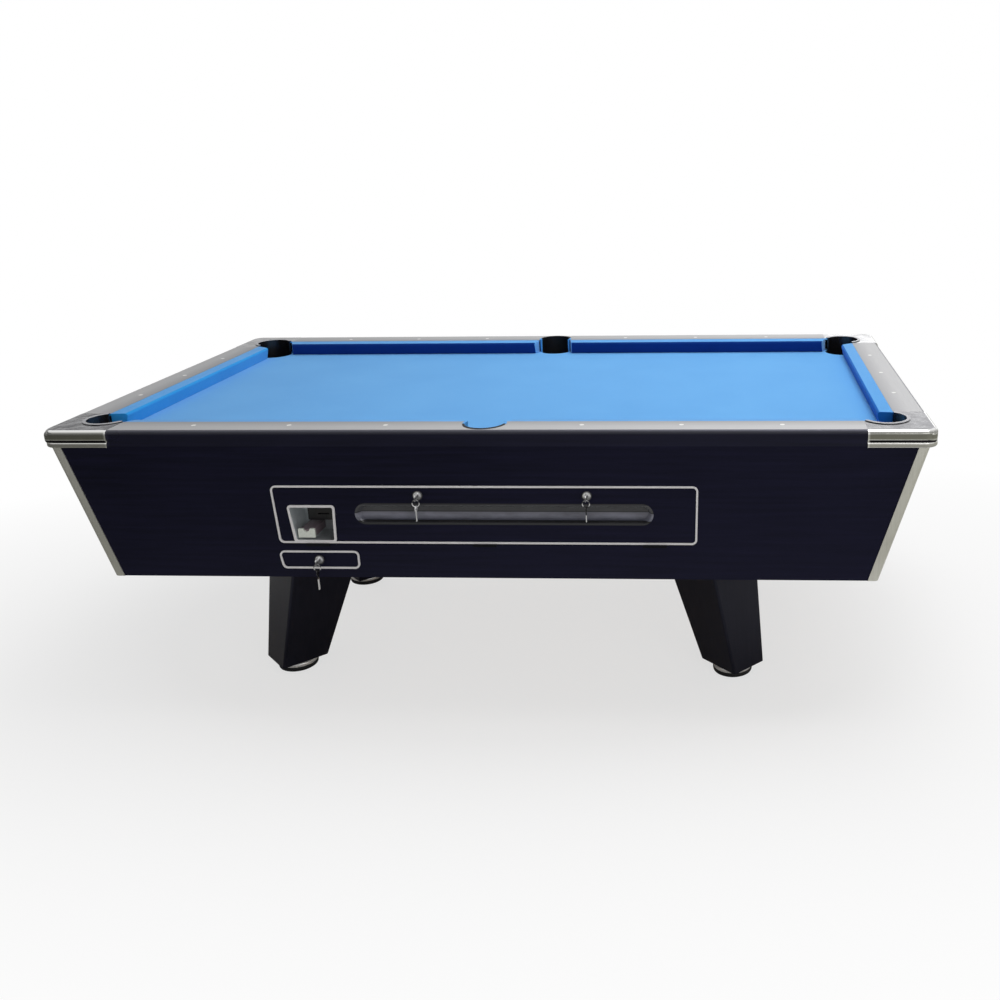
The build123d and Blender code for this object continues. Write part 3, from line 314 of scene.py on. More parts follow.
def dress(material, *names):
    """Give a finish to nodes of the frame."""
    for name in names:
        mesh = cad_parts[name].data
        mesh.materials.clear()
        mesh.materials.append(material)


print("finish helpers ready")

# %% [markdown]
# ## Blue cloth
# Pool cloth is a fine woven wool with a short nap. From a step away it is an even blue with the faintest
# mottling; close up a weave shows. Two crossed waves make the weave, a large soft noise and a fine one make
# the mottling, and a little sheen stands for the nap.

# %% Cloth finish
thread_scale = 320.0
thread_waver = 0.6
thread_depth = 0.0004
fuzz_share = 0.35


def woven(name, color, deep, nap=0.25):
    """Cloth with a crossed weave, mottled between two blues."""
    material, shader = finish(name, color, 0.9, specular=0.1)
    shader.inputs["Sheen Weight"].default_value = nap
    shader.inputs["Sheen Roughness"].default_value = 0.5
    wide = two_tone(material, grain(material, 5.0, detail=6.0), deep, color)
    fine = two_tone(material, grain(material, 900.0, detail=2.0), deep, color, end=0.62)
    paint(material, shader, blend_colors(material, fuzz_share, wide, fine))
    threads = []
    for axis in ("X", "Y"):
        wave = node(
            material, "ShaderNodeTexWave", {"Scale": thread_scale, "Distortion": thread_waver},
            bands_direction=axis,
        )
        wire(material, place_on(material), wave.inputs["Vector"])
        threads.append(wave.outputs["Fac"])
    dent(material, shader, reckon(material, "MULTIPLY", *threads), thread_depth, 0.5)
    return material


bed_blue = woven("bed_cloth_blue", (0.125, 0.425, 0.84), (0.1, 0.375, 0.79))
cushion_blue = woven("cushion_cloth_blue", (0.115, 0.40, 0.82), (0.09, 0.35, 0.77))
# Lighter and darker copies of the cloth for the cushions' faces, with painted light and shade.
lit_blue = woven("cushion_lit_blue", (0.035, 0.35, 0.8), (0.025, 0.3, 0.72), nap=0.1)
dimly_lit_blue = woven("cushion_dim_blue", (0.012, 0.16, 0.56), (0.008, 0.13, 0.5), nap=0.05)
shadowed_blue = woven("cushion_shade_blue", (0.003, 0.038, 0.23), (0.002, 0.03, 0.19), nap=0.02)
print("cloth finishes:", bed_blue.name, cushion_blue.name, lit_blue.name, dimly_lit_blue.name, shadowed_blue.name)

# %% [markdown]
# ## Where the pockets are
# Four pockets lie at the corners and two in the middle of the long sides. Their places and radii come from
# the boxes of the liners in them, less the lip that a liner has, so the cloth is cut where the slate is.

# %% Pocket places
slate_gap = 0.001
corner_lip = 0.005
side_lip = 0.002
corner_liner_low, corner_liner_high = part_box("near_right_liner")
side_liner_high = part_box("near_side_liner")[1]
corner_r = (corner_liner_high.x - corner_liner_low.x - corner_lip) / 2
corner_x = corner_liner_low.x + corner_r
corner_y = corner_r - corner_liner_high.y
corner_reach = corner_r + slate_gap
side_r = side_liner_high.x - side_lip
side_y = side_r - side_liner_high.y
print("pocket radii:", round(corner_r, 4), round(side_r, 4))

# %% [markdown]
# ## The bed cloth
# One sheet is stretched over the slate and glued at its edge, with openings at the six pockets. A thin block
# of the slate's size is cut by round tools, as a fitter cuts it with a knife along the slate's edge. It could
# be a flat plane with a picture of the holes, but real openings let the pockets be seen.

# %% Bed cloth
pocket_sides = 96
tool_height = 0.2


def cut(piece, tool):
    """Cut a tool out of a piece, and throw the tool away."""
    pick(piece)
    modifier = piece.modifiers.new("cut", "BOOLEAN")
    modifier.operation = "DIFFERENCE"
    modifier.solver = "EXACT"
    modifier.object = tool
    bpy.ops.object.modifier_apply(modifier=modifier.name)
    bpy.data.objects.remove(tool)


def round_tool(x, y, radius):
    """A tall round tool at a pocket."""
    deselect()
    bpy.ops.mesh.primitive_cylinder_add(
        vertices=pocket_sides, radius=radius, depth=tool_height, location=(x, y, bed_z),
    )
    return bpy.context.object


def corner_tool(x, y):
    """A tall square tool from a corner pocket's middle to the cloth's corner."""
    far_x = x + corner_reach if x > 0 else x - corner_reach
    far_y = y + corner_reach if y > 0 else y - corner_reach
    low = Vector((min(x, far_x), min(y, far_y), bed_z - tool_height / 2))
    high = Vector((max(x, far_x), max(y, far_y), bed_z + tool_height / 2))
    return box_between(low, high)


bed = box_between(bed_low, bed_high)
for x in (-corner_x, corner_x):
    for y in (-corner_y, corner_y):
        cut(bed, round_tool(x, y, corner_reach))
        cut(bed, corner_tool(x, y))
for y in (-side_y, side_y):
    cut(bed, round_tool(0, y, side_r + slate_gap))
settle(bed, "bed_sheet")
bed.data.materials.append(bed_blue)
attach(bed, "cabinet")
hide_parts("bed_cloth")

# %% [markdown]
# ## The cushions
# A cushion is a rubber nose glued to the rail, with cloth pulled tight round it. Its face leans back under
# the nose, so that play meets it high, and its ends are cut at a slant that opens the pocket. A block is
# shaped by moving its edges, and the nose is rounded by a bevel: tight cloth has no folds, so no simulation
# is needed. The face is darker than the top by painted shade, and each side's face gets its own blue with
# its own painted light and shade.

# %% Cushion helper
undercut = 0.009
nose_drop = 0.003
nose_round = 0.009
edge_round = 0.0015
top_slope = 0.9
end_slope = 0.8
slant_slope = 0.5


def middle(part):
    """The middle of an edge."""
    return sum((vert.co for vert in part.verts), Vector((0, 0, 0))) / len(part.verts)


def close_to(value, target, slack=1e-5):
    """Whether two lengths agree."""
    return abs(value - target) < slack


def cushion(name, inward, low_taper, high_taper, face_light_and_shadow):
    """One cushion in its node's box, its nose towards a direction, its ends drawn in at the nose."""
    low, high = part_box(name)
    piece = box_between(low, high)
    along = 0 if inward.x == 0 else 1
    across = 1 - along
    front = high[across] if inward[across] > 0 else low[across]
    depth = high[across] - low[across]
    edit(piece)
    for end, taper in ((low[along], low_taper), (high[along], -high_taper)):
        for level, share in ((high.z, 1), (low.z, 1 - undercut / depth)):
            choose("VERT", lambda v: close_to(v.co[along], end) and close_to(v.co[across], front)
                   and close_to(v.co.z, level))
            slide = Vector((0, 0, 0))
            slide[along] = taper * share
            bpy.ops.transform.translate(value=slide)
    choose("EDGE", lambda e: close_to(middle(e)[across], front) and close_to(middle(e).z, low.z))
    bpy.ops.transform.translate(value=-inward * undercut)
    choose("EDGE", lambda e: close_to(middle(e)[across], front) and close_to(middle(e).z, high.z))
    bpy.ops.transform.translate(value=(0, 0, -nose_drop))
    bpy.ops.mesh.bevel(offset=nose_round, segments=6, affect="EDGES")
    choose("FACE", lambda f: abs(f.normal[along]) > end_slope)
    bpy.ops.mesh.region_to_loop()
    bpy.ops.mesh.bevel(offset=edge_round, segments=3, affect="EDGES")
    settle(piece, name + "_cloth", angle=40)
    piece.data.materials.append(cushion_blue)
    piece.data.materials.append(face_light_and_shadow)
    # The faces take the blue with painted light and shade; the top and the long cushions' ends take the plain
    # blue.
    for face in piece.data.polygons:
        at_end = along == 0 and abs(face.normal.x) > slant_slope
        face.material_index = 0 if face.normal.z > top_slope or at_end else 1
    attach(piece, "cabinet")
    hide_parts(name)
    return piece


print("cushion helper ready, nose rounded by", nose_round, "m")

# %% [markdown]
# ## Six cushions
# Two cushions run along each long side, parted by the side pocket, and one along each end. The slant is
# larger at a corner pocket than at a side pocket.

# %% Cushions
corner_taper = 0.016
side_taper = 0.0105
to_far, to_near = Vector((0, 1, 0)), Vector((0, -1, 0))
to_right, to_left = Vector((1, 0, 0)), Vector((-1, 0, 0))
# Painted light and shade on the faces: lit on the near and left cushions, dimly lit on the right, shadowed on
# the far ones.
cushions = [
    cushion("near_left_cushion", to_far, corner_taper, side_taper, lit_blue),
    cushion("near_right_cushion", to_far, side_taper, corner_taper, lit_blue),
    cushion("far_left_cushion", to_near, corner_taper, side_taper, shadowed_blue),
    cushion("far_right_cushion", to_near, side_taper, corner_taper, shadowed_blue),
    cushion("left_cushion", to_right, corner_taper, corner_taper, lit_blue),
    cushion("right_cushion", to_left, corner_taper, corner_taper, dimly_lit_blue),
]
print("cushions:", [piece.name for piece in cushions])

# %% [markdown]
# ## Black cabinet board
# The cabinet is faced with black laminate with a faint grain along the table. Long stretched noise gives the
# grain a hair of lighter violet-black, and broad clouds vary the colour and the gloss, which is what shows it
# on a board this dark.

# %% Black board finishes
board_tint = (0.72, 0.74, 1.0, 1)
along_x = (0.12, 3.0, 3.0)
along_y = (3.0, 0.12, 3.0)
along_z = (3.0, 3.0, 0.12)
board_dark = (0.0018, 0.0018, 0.0085)
board_light = (0.006, 0.0055, 0.021)
leg_dark = (0.0032, 0.0032, 0.0065)
leg_light = (0.008, 0.008, 0.014)


def black_board(name, stretch, dark, light, gloss, specular):
    """Black laminate with a faint grain along it, and broad clouds in its colour and gloss."""
    material, shader = finish(name, dark, gloss, specular=specular)
    shader.inputs["Specular Tint"].default_value = board_tint
    lines = grain(material, 30.0, stretch, detail=5.0)
    clouds = grain(material, 1.6, (0.6, 1, 1), detail=3.0)
    thread = two_tone(material, lines, dark, light, start=0.38, end=0.72)
    haze = shift_range(material, clouds, 0.35, 0.65, 0.0, 0.5)
    color = blend_colors(material, haze, thread, light)
    paint(material, shader, color)
    polish(material, shader, shift_range(material, clouds, 0.3, 0.7, gloss - 0.06, gloss + 0.1))
    dent(material, shader, lines, 0.0003, 0.25)
    return material, shader, color


panel_black = black_board("panel_black", along_x, board_dark, board_light, 0.42, 0.18)[0]
end_black = black_board("end_panel_black", along_y, board_dark, board_light, 0.42, 0.18)[0]
leg_black = black_board("leg_black", along_z, leg_dark, leg_light, 0.36, 0.25)[0]
dress(panel_black, "front_panel", "rear_panel", "door_panel", "cash_drawer")
dress(end_black, "left_end_panel", "right_end_panel")
dress(leg_black, *[corner + "_leg" for corner in corners])
print("black boards:", panel_black.name, end_black.name, leg_black.name)

# %% [markdown]
# ## Dark rails
# The rails' sides are the same laminate, glossier. Their rounded upper edge gets a painted highlight: the
# last few millimetres below the top fade to grey.

# %% Rail sides
highlight_fade = 0.012
highlight_grey = (0.1, 0.1, 0.115)
for name, stretch, rails in (
    ("rail_dark", along_x, ("near_rail", "far_rail")),
    ("rail_end_dark", along_y, ("left_rail", "right_rail")),
):
    material, shader, color = black_board(name, stretch, board_dark, board_light, 0.3, 0.35)
    # Painted highlight: the last few millimetres below the top fade to grey.
    painted_highlight_share = height_share(material, rail_z - highlight_fade, rail_z)
    paint(material, shader, blend_colors(material, painted_highlight_share, color, highlight_grey))
    dress(material, *rails)
    print("rail finish:", material.name)

# %% [markdown]
# ## Plain board inside
# What nobody sees is left as plain board: the floor, the frame under the slate and the sloping ways from the
# pockets to the return. A stretched noise gives pale wood its rings, and the slate gets a grey of its own.

# %% Board and slate finishes
board, board_shader = finish("plain_board", (0.42, 0.29, 0.17), 0.65, specular=0.3)
board_lines = grain(board, 14.0, (0.5, 9.0, 9.0), detail=6.0)
board_color = two_tone(board, board_lines, (0.34, 0.22, 0.12), (0.48, 0.35, 0.21), start=0.35, end=0.65)
paint(board, board_shader, board_color)
dent(board, board_shader, board_lines, 0.0004, 0.3)
dress(board, "bottom_panel", "slate_frame", "ball_gullies", "ball_trough", "return_chute", "return_tray")

slate, slate_shader = finish("slate_grey", (0.09, 0.095, 0.1), 0.55)
slate_lines = grain(slate, 12.0, (1, 1, 8), detail=6.0)
paint(slate, slate_shader, two_tone(slate, slate_lines, (0.06, 0.064, 0.07), (0.12, 0.125, 0.13)))
dress(slate, "slate_bed")
print("inner finishes:", board.name, slate.name)

# %% [markdown]
# ## Brushed silver rail tops
# The rail tops are laminate with brushed lines along each rail. Two patterns are made, one along the table
# and one across it, and the piece's own place chooses between them: past the ends of the field they turn.
# Beside the cushions the tops get a little painted shade.

# %% Rail tops
brush_scale = 40.0
silver_light = (0.52, 0.52, 0.527)
silver_dark = (0.44, 0.44, 0.447)
painted_inner_shade = (0.32, 0.32, 0.335)
shade_share = 0.6
rail_silver, rail_shader = finish("rail_silver", silver_light, 0.36, 0.55)
brushed_lines = []
for stretch in ((0.25, 14.0, 1.0), (14.0, 0.25, 1.0)):
    lines = grain(rail_silver, brush_scale, stretch, detail=6.0)
    brushed_lines.append(two_tone(rail_silver, lines, silver_dark, silver_light))
out_shares = []
for axis, inner, outer in (("X", end_inner, tops_high.x), ("Y", long_inner, tops_high.y)):
    offset = reckon(rail_silver, "ABSOLUTE", along_axis(rail_silver, axis))
    out_shares.append(shift_range(rail_silver, offset, inner, outer))
past_end = reckon(rail_silver, "GREATER_THAN", out_shares[0], 0.0)
silver = blend_colors(rail_silver, past_end, *brushed_lines)
# Painted shade: the tops darken towards the cushions.
painted_shade_fall = shift_range(rail_silver, reckon(rail_silver, "MAXIMUM", *out_shares), 0.0, shade_share)
paint(rail_silver, rail_shader, blend_colors(rail_silver, painted_shade_fall, painted_inner_shade, silver))
dress(rail_silver, "rail_tops")
print("rail tops:", rail_silver.name)

# %% [markdown]
# ## Brushed trims, gate and bolts
# The corner trims are satin strips brushed along their height. The gate and the bolts inside are plain steel.
# All three are one recipe with other colours and other stretches.

# %% Brushed metals
brush_depth = 0.00015
brush_relief = 0.3


def brushed(name, color, dark, roughness, stretch):
    """Metal with fine lines along one axis, varied in colour and in gloss."""
    material, shader = finish(name, color, roughness, metallic=1.0)
    lines = grain(material, brush_scale, stretch, detail=6.0)
    clouds = grain(material, 6.0, detail=3.0)
    paint(material, shader, two_tone(material, lines, dark, color))
    polish(material, shader, shift_range(material, clouds, 0.3, 0.7, roughness - 0.06, roughness + 0.08))
    dent(material, shader, lines, brush_depth, brush_relief)
    return material


trim_satin = brushed("trim_satin", (0.78, 0.77, 0.72), (0.66, 0.65, 0.61), 0.38, (14.0, 14.0, 0.4))
steel_bright = brushed("steel_bright", (0.66, 0.67, 0.7), (0.52, 0.53, 0.56), 0.28, (0.4, 14.0, 14.0))
bolt_steel = brushed("bolt_steel", (0.45, 0.45, 0.46), (0.34, 0.34, 0.35), 0.4, (6.0, 6.0, 6.0))
dress(trim_satin, "corner_trims")
dress(steel_bright, "release_gate")
dress(bolt_steel, "frame_bolts")
print("metals:", trim_satin.name, steel_bright.name, bolt_steel.name)

# %% [markdown]
# ## The coin recess
# The recess is pale metal, with painted shade on its right side. A change along the table, from a lit tone
# to a shadowed tone, paints that with one value.

# %% Coin recess
recess_shade_start = 0.02
recess_low, recess_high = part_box("coin_recess")
recess_pale, recess_shader = finish("recess_pale", (0.6, 0.65, 0.67), 0.32, 0.35)
recess_lines = grain(recess_pale, brush_scale, (0.4, 14.0, 14.0), detail=6.0)
lit_tone = two_tone(recess_pale, recess_lines, (0.58, 0.63, 0.65), (0.7, 0.75, 0.77))
shadowed_tone = two_tone(recess_pale, recess_lines, (0.1, 0.1, 0.11), (0.16, 0.16, 0.17))
# Painted shade: the recess darkens towards its right side.
recess_shade_share = shift_range(recess_pale, along_axis(recess_pale, "X"), recess_low.x + recess_shade_start, recess_high.x)
paint(recess_pale, recess_shader, blend_colors(recess_pale, recess_shade_share, lit_tone, shadowed_tone))
dent(recess_pale, recess_shader, recess_lines, brush_depth, brush_relief)
dress(recess_pale, "coin_recess")
print("recess:", recess_pale.name)

# %% [markdown]
# ## Corner castings
# The castings are polished, and their colour paints the reflection of a dark room in bands: a pale lip, a
# dark groove, a bright line and a darker side under the top's edge. Bands by height give that painted
# reflection from every side. Clouds paint a mottled reflection on the top, which a slow bump keeps from
# looking like paper, and a painted highlight brightens the ends where they meet the rails.

# %% Corner castings
joint_edge = 0.006
joint_glint = (0.95, 0.95, 0.93)
casting_low, casting_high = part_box("near_right_casting")
casting_chrome, casting_shader = finish("casting_chrome", (0.55, 0.55, 0.56), 0.13, 1.0)
casting_rise = height_share(casting_chrome, casting_low.z, casting_high.z)
# Painted reflection in bands by height: pale lip, dark groove, bright line, darker side, bright top edge.
painted_reflection_bands = ramp(casting_chrome, casting_rise, [
    (0.0, (0.5, 0.49, 0.47)),
    (0.29, (0.62, 0.61, 0.59)),
    (0.32, (0.015, 0.015, 0.018)),
    (0.41, (0.015, 0.015, 0.018)),
    (0.44, (0.75, 0.75, 0.73)),
    (0.54, (0.3, 0.3, 0.26)),
    (0.88, (0.27, 0.27, 0.25)),
    (0.97, (0.8, 0.8, 0.79)),
])
casting_dents_and_reflection = grain(casting_chrome, 14.0, detail=3.0)
# Clouds paint a mottled reflection on the top.
painted_top_reflection = ramp(casting_chrome, casting_dents_and_reflection, [
    (0.36, (0.46, 0.46, 0.47)),
    (0.5, (0.6, 0.6, 0.61)),
    (0.64, (0.76, 0.76, 0.77)),
])
on_top = shift_range(casting_chrome, casting_rise, 0.985, 1.0)
painted_casting_reflection = blend_colors(casting_chrome, on_top, painted_reflection_bands, painted_top_reflection)
# Painted highlight where the ends meet the rails.
joint_shares = []
for axis, joint in (("X", casting_low.x), ("Y", -casting_high.y)):
    offset = reckon(casting_chrome, "ABSOLUTE", along_axis(casting_chrome, axis))
    joint_shares.append(shift_range(casting_chrome, offset, joint, joint + joint_edge, 1.0, 0.0))
below_top = shift_range(casting_chrome, casting_rise, 0.85, 0.95, 1.0, 0.0)
glint = reckon(casting_chrome, "MULTIPLY", reckon(casting_chrome, "MAXIMUM", *joint_shares), below_top)
paint(casting_chrome, casting_shader, blend_colors(casting_chrome, glint, painted_casting_reflection, joint_glint))
casting_smears = grain(casting_chrome, 25.0, detail=5.0)
polish(casting_chrome, casting_shader, shift_range(casting_chrome, casting_smears, 0.35, 0.7, 0.08, 0.2))
dent(casting_chrome, casting_shader, casting_dents_and_reflection, 0.004, 0.35)
dress(casting_chrome, *[corner + "_casting" for corner in corners])
print("castings:", casting_chrome.name, "over", round(casting_high.z - casting_low.z, 4), "m")

# %% [markdown]
# ## Plastics and paint
# Strips, sights, the coin head and the hinge are plastic or painted. Each gets a fine moulded grain and its
# own gloss, so that no piece is a single flat colour.

# %% Moulded finishes
pebble_scale = 250.0
pebble_depth = 0.0002


def pebbled(material, shader, color, light):
    """The colour of a fine moulded grain, with its bump."""
    pebbles = grain(material, pebble_scale, detail=3.0)
    dent(material, shader, pebbles, pebble_depth, 0.2)
    return two_tone(material, pebbles, color, light, start=0.35)


def moulded(name, color, light, roughness, specular=0.5):
    """Plastic or paint with a fine moulded grain."""
    material, shader = finish(name, color, roughness, specular=specular)
    paint(material, shader, pebbled(material, shader, color, light))
    return material


strip_pale = moulded("strip_pale", (0.8, 0.78, 0.78), (0.88, 0.86, 0.86), 0.4)
sight_white = moulded("sight_white", (0.82, 0.82, 0.8), (0.88, 0.88, 0.86), 0.3)
head_dark = moulded("head_dark", (0.006, 0.006, 0.008), (0.014, 0.013, 0.016), 0.3)
hinge_black = moulded("hinge_black", (0.002, 0.002, 0.004), (0.004, 0.004, 0.007), 0.6, specular=0.1)
dress(strip_pale, "door_trim", "drawer_trim")
dress(sight_white, "rail_sights")
dress(head_dark, "coin_head")
dress(hinge_black, "door_hinge", "hinge_frame")
print("moulded finishes:", strip_pale.name, sight_white.name, head_dark.name, hinge_black.name)

# %% [markdown]
# ## The window in the door
# The window is a smoked dish in the door. Bands by height paint its light and shade: a dark rim, a painted
# shadow line, a pale painted reflection across its lower half, and grey above, dulled by a little haze.

# %% Door window
window_dull = (0.03, 0.03, 0.034)
window_low, window_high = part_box("ball_window")
window_smoke, window_shader = finish("window_smoke", (0.07, 0.072, 0.08), 0.22)
# Painted light and shade in bands by height.
painted_window_light = ramp(window_smoke, height_share(window_smoke, window_low.z, window_high.z), [
    (0.0, (0.03, 0.031, 0.036)),
    (0.09, (0.03, 0.031, 0.036)),
    (0.11, (0.006, 0.006, 0.008)),
    (0.17, (0.006, 0.006, 0.008)),
    (0.21, (0.17, 0.175, 0.225)),
    (0.38, (0.25, 0.255, 0.315)),
    (0.52, (0.2, 0.2, 0.245)),
    (0.55, (0.03, 0.03, 0.034)),
    (0.6, (0.07, 0.071, 0.077)),
    (0.92, (0.08, 0.081, 0.087)),
    (0.95, (0.025, 0.025, 0.03)),
    (1.0, (0.045, 0.045, 0.05)),
])
window_haze = shift_range(window_smoke, grain(window_smoke, 12.0, (1, 3, 3)), 0.35, 0.7, 0.0, 0.45)
paint(window_smoke, window_shader, blend_colors(window_smoke, window_haze, painted_window_light, window_dull))
dress(window_smoke, "ball_window")
print("window:", window_smoke.name, "over", round(window_high.z - window_low.z, 4), "m")

# %% [markdown]
# ## Pocket liners
# The corner liners are glossy black, and a pale painted reflection lies on the lip that stands above the
# rail. The side liners are black too, but the bed's cloth laps over the part of them nearest the field,
# so that part is blue.

# %% Pocket liners
lip_reflection_grey = (0.42, 0.42, 0.44)
lip_start = 0.0016
lip_full = 0.0022
rim_black = (0.004, 0.004, 0.005)
rim_liner, rim_shader = finish("rim_liner", rim_black, 0.25)
rim_color = pebbled(rim_liner, rim_shader, rim_black, (0.009, 0.009, 0.01))
# Painted reflection: the lip above the rail turns pale grey.
painted_lip_reflection = height_share(rim_liner, rail_z + lip_start, rail_z + lip_full)
paint(rim_liner, rim_shader, blend_colors(rim_liner, painted_lip_reflection, rim_color, lip_reflection_grey))
dress(rim_liner, *[corner + "_liner" for corner in corners])

lap_depth = 0.026
lap_edge = 0.001
lap_blue = (0.09, 0.36, 0.78)
flank_black = (0.003, 0.003, 0.004)
flank_liner, flank_shader = finish("flank_liner", flank_black, 0.45, specular=0.15)
flank_color = pebbled(flank_liner, flank_shader, flank_black, (0.006, 0.006, 0.007))
flank_offset = reckon(flank_liner, "ABSOLUTE", along_axis(flank_liner, "Y"))
lap_end = long_inner + lap_depth
lapped = shift_range(flank_liner, flank_offset, lap_end - lap_edge, lap_end, 1.0, 0.0)
paint(flank_liner, flank_shader, blend_colors(flank_liner, lapped, flank_color, lap_blue))
dress(flank_liner, "near_side_liner", "far_side_liner")
print("liners:", rim_liner.name, flank_liner.name)

# %% [markdown]
# ## The coin slide
# The slide has a pale greenish plate in front and a plum-coloured body behind it. One solid shows both, so
# its own depth chooses between them.

# %% Coin slide
plate_thick = 0.006
plate_edge = 0.0002
slide_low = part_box("coin_slide")[0]
slide_paint, slide_shader = finish("slide_paint", (0.55, 0.57, 0.5), 0.35)
slide_grain = grain(slide_paint, 60.0, (4, 1, 4))
plate_pale = two_tone(slide_paint, slide_grain, (0.74, 0.78, 0.7), (0.86, 0.9, 0.82))
body_plum = two_tone(slide_paint, slide_grain, (0.2, 0.14, 0.17), (0.3, 0.23, 0.26))
plate_back = slide_low.y + plate_thick
behind = shift_range(slide_paint, along_axis(slide_paint, "Y"), plate_back - plate_edge, plate_back)
paint(slide_paint, slide_shader, blend_colors(slide_paint, behind, plate_pale, body_plum))
dent(slide_paint, slide_shader, slide_grain, 0.0002, 0.2)
dress(slide_paint, "coin_slide")
print("slide:", slide_paint.name)

# %% [markdown]
# ## Lock plating
# A lock's face is a small polished dome. Its colour paints what it mirrors in a room: a bright ring round a
# darker hub and a dark rim as painted reflection, and a dark lower half as painted shade; its keys are plain
# bright steel. The distance from the lock's axis gives the rings, and the height gives the dark half. Two
# door locks share one node, so the distance is taken from the nearer.

# %% Lock plating
lock_shade_dark = (0.04, 0.04, 0.045)


def from_axis(material, low, high, radius):
    """The distance from the nearer lock's axis, for locks that lie side by side in one box."""
    aside = reckon(material, "SUBTRACT", along_axis(material, "X"), (low.x + high.x) / 2)
    aside = reckon(material, "ABSOLUTE", aside)
    aside = reckon(material, "SUBTRACT", aside, (high.x - low.x) / 2 - radius)
    above = reckon(material, "SUBTRACT", along_axis(material, "Z"), (low.z + high.z) / 2)
    on_face = node(material, "ShaderNodeCombineXYZ")
    wire(material, aside, on_face.inputs["X"])
    wire(material, above, on_face.inputs["Z"])
    reach = node(material, "ShaderNodeVectorMath", operation="LENGTH")
    wire(material, on_face.outputs["Vector"], reach.inputs[0])
    return reach.outputs["Value"]


def painted_lock_reflection(material, case):
    """A lock's plating: painted reflection bright round its face and dark on rim and hub, painted shade on
    its lower half, bright on its keys.
    """
    low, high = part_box(case)
    radius = (high.z - low.z) / 2
    reach = from_axis(material, low, high, radius)
    # Painted reflection in rings round the lock's axis.
    reflection_rings = ramp(material, shift_range(material, reach, 0.0, 2 * radius), [
        (0.0, (0.2, 0.2, 0.21)),
        (0.12, (0.28, 0.28, 0.29)),
        (0.18, (0.97, 0.97, 0.98)),
        (0.34, (0.97, 0.97, 0.98)),
        (0.43, (0.08, 0.08, 0.085)),
        (0.505, (0.05, 0.05, 0.055)),
        (0.52, (0.92, 0.92, 0.93)),
    ])
    # Painted shade on the lower half.
    painted_lower_shade = ramp(material, height_share(material, low.z, high.z), [
        (0.0, (0.0, 0.0, 0.0)),
        (0.01, (0.85, 0.85, 0.85)),
        (0.32, (0.7, 0.7, 0.7)),
        (0.52, (0.0, 0.0, 0.0)),
    ])
    return blend_colors(material, painted_lower_shade, reflection_rings, lock_shade_dark)


print("lock plating ready")

# %% [markdown]
# ## Locks and keys
# The left door lock holds a plain steel key. The right one and the drawer's hold keys with a dark grip on the
# bow, which lies between two heights of the plug's own solid.

# %% Locks and keys
lock_metal = 0.5
lock_steel = (0.9, 0.9, 0.91)
grip_black = (0.008, 0.008, 0.009)
grip_edge = 0.0004
right_bow = (0.608, 0.631)
drawer_bow = (0.43, 0.4555)


def lock_case_plate(name, case):
    """A lock case's finish."""
    material, shader = finish(name, lock_steel, 0.15, lock_metal)
    paint(material, shader, painted_lock_reflection(material, case))
    return material


def key_plate(name, case, bow):
    """Lock plating, with a dark grip on the key's bow between two heights."""
    material, shader = finish(name, lock_steel, 0.2, lock_metal)
    bow_low, bow_high = bow
    above_low = height_share(material, bow_low - grip_edge, bow_low)
    below_high = height_share(material, bow_high + grip_edge, bow_high)
    grip = reckon(material, "MULTIPLY", above_low, below_high)
    paint(material, shader, blend_colors(material, grip, painted_lock_reflection(material, case), grip_black))
    wire(material, shift_range(material, grip, 0.0, 1.0, lock_metal, 0.0), shader.inputs["Metallic"])
    return material


door_lock_chrome = lock_case_plate("door_lock_chrome", "door_lock_cases")
drawer_lock_chrome = lock_case_plate("drawer_lock_chrome", "drawer_lock_case")
right_key = key_plate("right_key_plate", "door_lock_cases", right_bow)
drawer_key = key_plate("drawer_key_plate", "drawer_lock_case", drawer_bow)
dress(door_lock_chrome, "door_lock_cases", "left_lock_plug")
dress(drawer_lock_chrome, "drawer_lock_case")
dress(right_key, "right_lock_plug")
dress(drawer_key, "drawer_lock_plug")
print("locks:", door_lock_chrome.name, drawer_lock_chrome.name, right_key.name, drawer_key.name)

# %% [markdown]
# ## Levelling feet
# Each foot is a chrome cup over a rubber base, on a threaded stud with a nut. Pieces like this are turned on
# a lathe, so each is drawn as a profile of radius and height. The thread is a row of ridges, which at this
# size looks like the real helix.

# %% Foot profiles
foot_low, foot_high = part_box("near_right_foot")
foot_x = (foot_low.x + foot_high.x) / 2
foot_y = (foot_low.y + foot_high.y) / 2
foot_r = (foot_high.x - foot_low.x) / 2
stud_r = 0.006
stud_low = 0.0316
stud_top = foot_high.z
ridge_pitch = 0.003
root_r = stud_r - 0.0008
base_profile = [
    (foot_r * 0.8, 0.0),
    (foot_r * 0.91, 0.0012),
    (foot_r * 0.965, 0.0032),
    (foot_r * 0.99, 0.006),
    (foot_r, 0.0095),
    (foot_r, 0.0128),
    (foot_r * 0.985, 0.0145),
    (foot_r * 0.9, 0.0148),
]
cup_profile = [
    (foot_r * 0.9, 0.015),
    (foot_r * 0.96, 0.0151),
    (foot_r * 0.98, 0.0162),
    (foot_r * 0.98, 0.0215),
    (foot_r * 0.965, 0.0245),
    (foot_r * 0.925, 0.0268),
    (foot_r * 0.85, 0.0283),
    (foot_r * 0.7, 0.029),
    (foot_r * 0.3, 0.0292),
]
nut_profile = [(0.0105, 0.0293), (0.0118, 0.0299), (0.0118, 0.0311), (0.0105, 0.0315)]
stud_profile = [(root_r, stud_low)]
ridge = stud_low + ridge_pitch / 2
while ridge + ridge_pitch < stud_top:
    stud_profile += [(stud_r, ridge), (root_r, ridge + ridge_pitch / 2)]
    ridge += ridge_pitch
stud_profile.append((root_r, stud_top))
print("foot radius:", round(foot_r, 4), "stud points:", len(stud_profile))

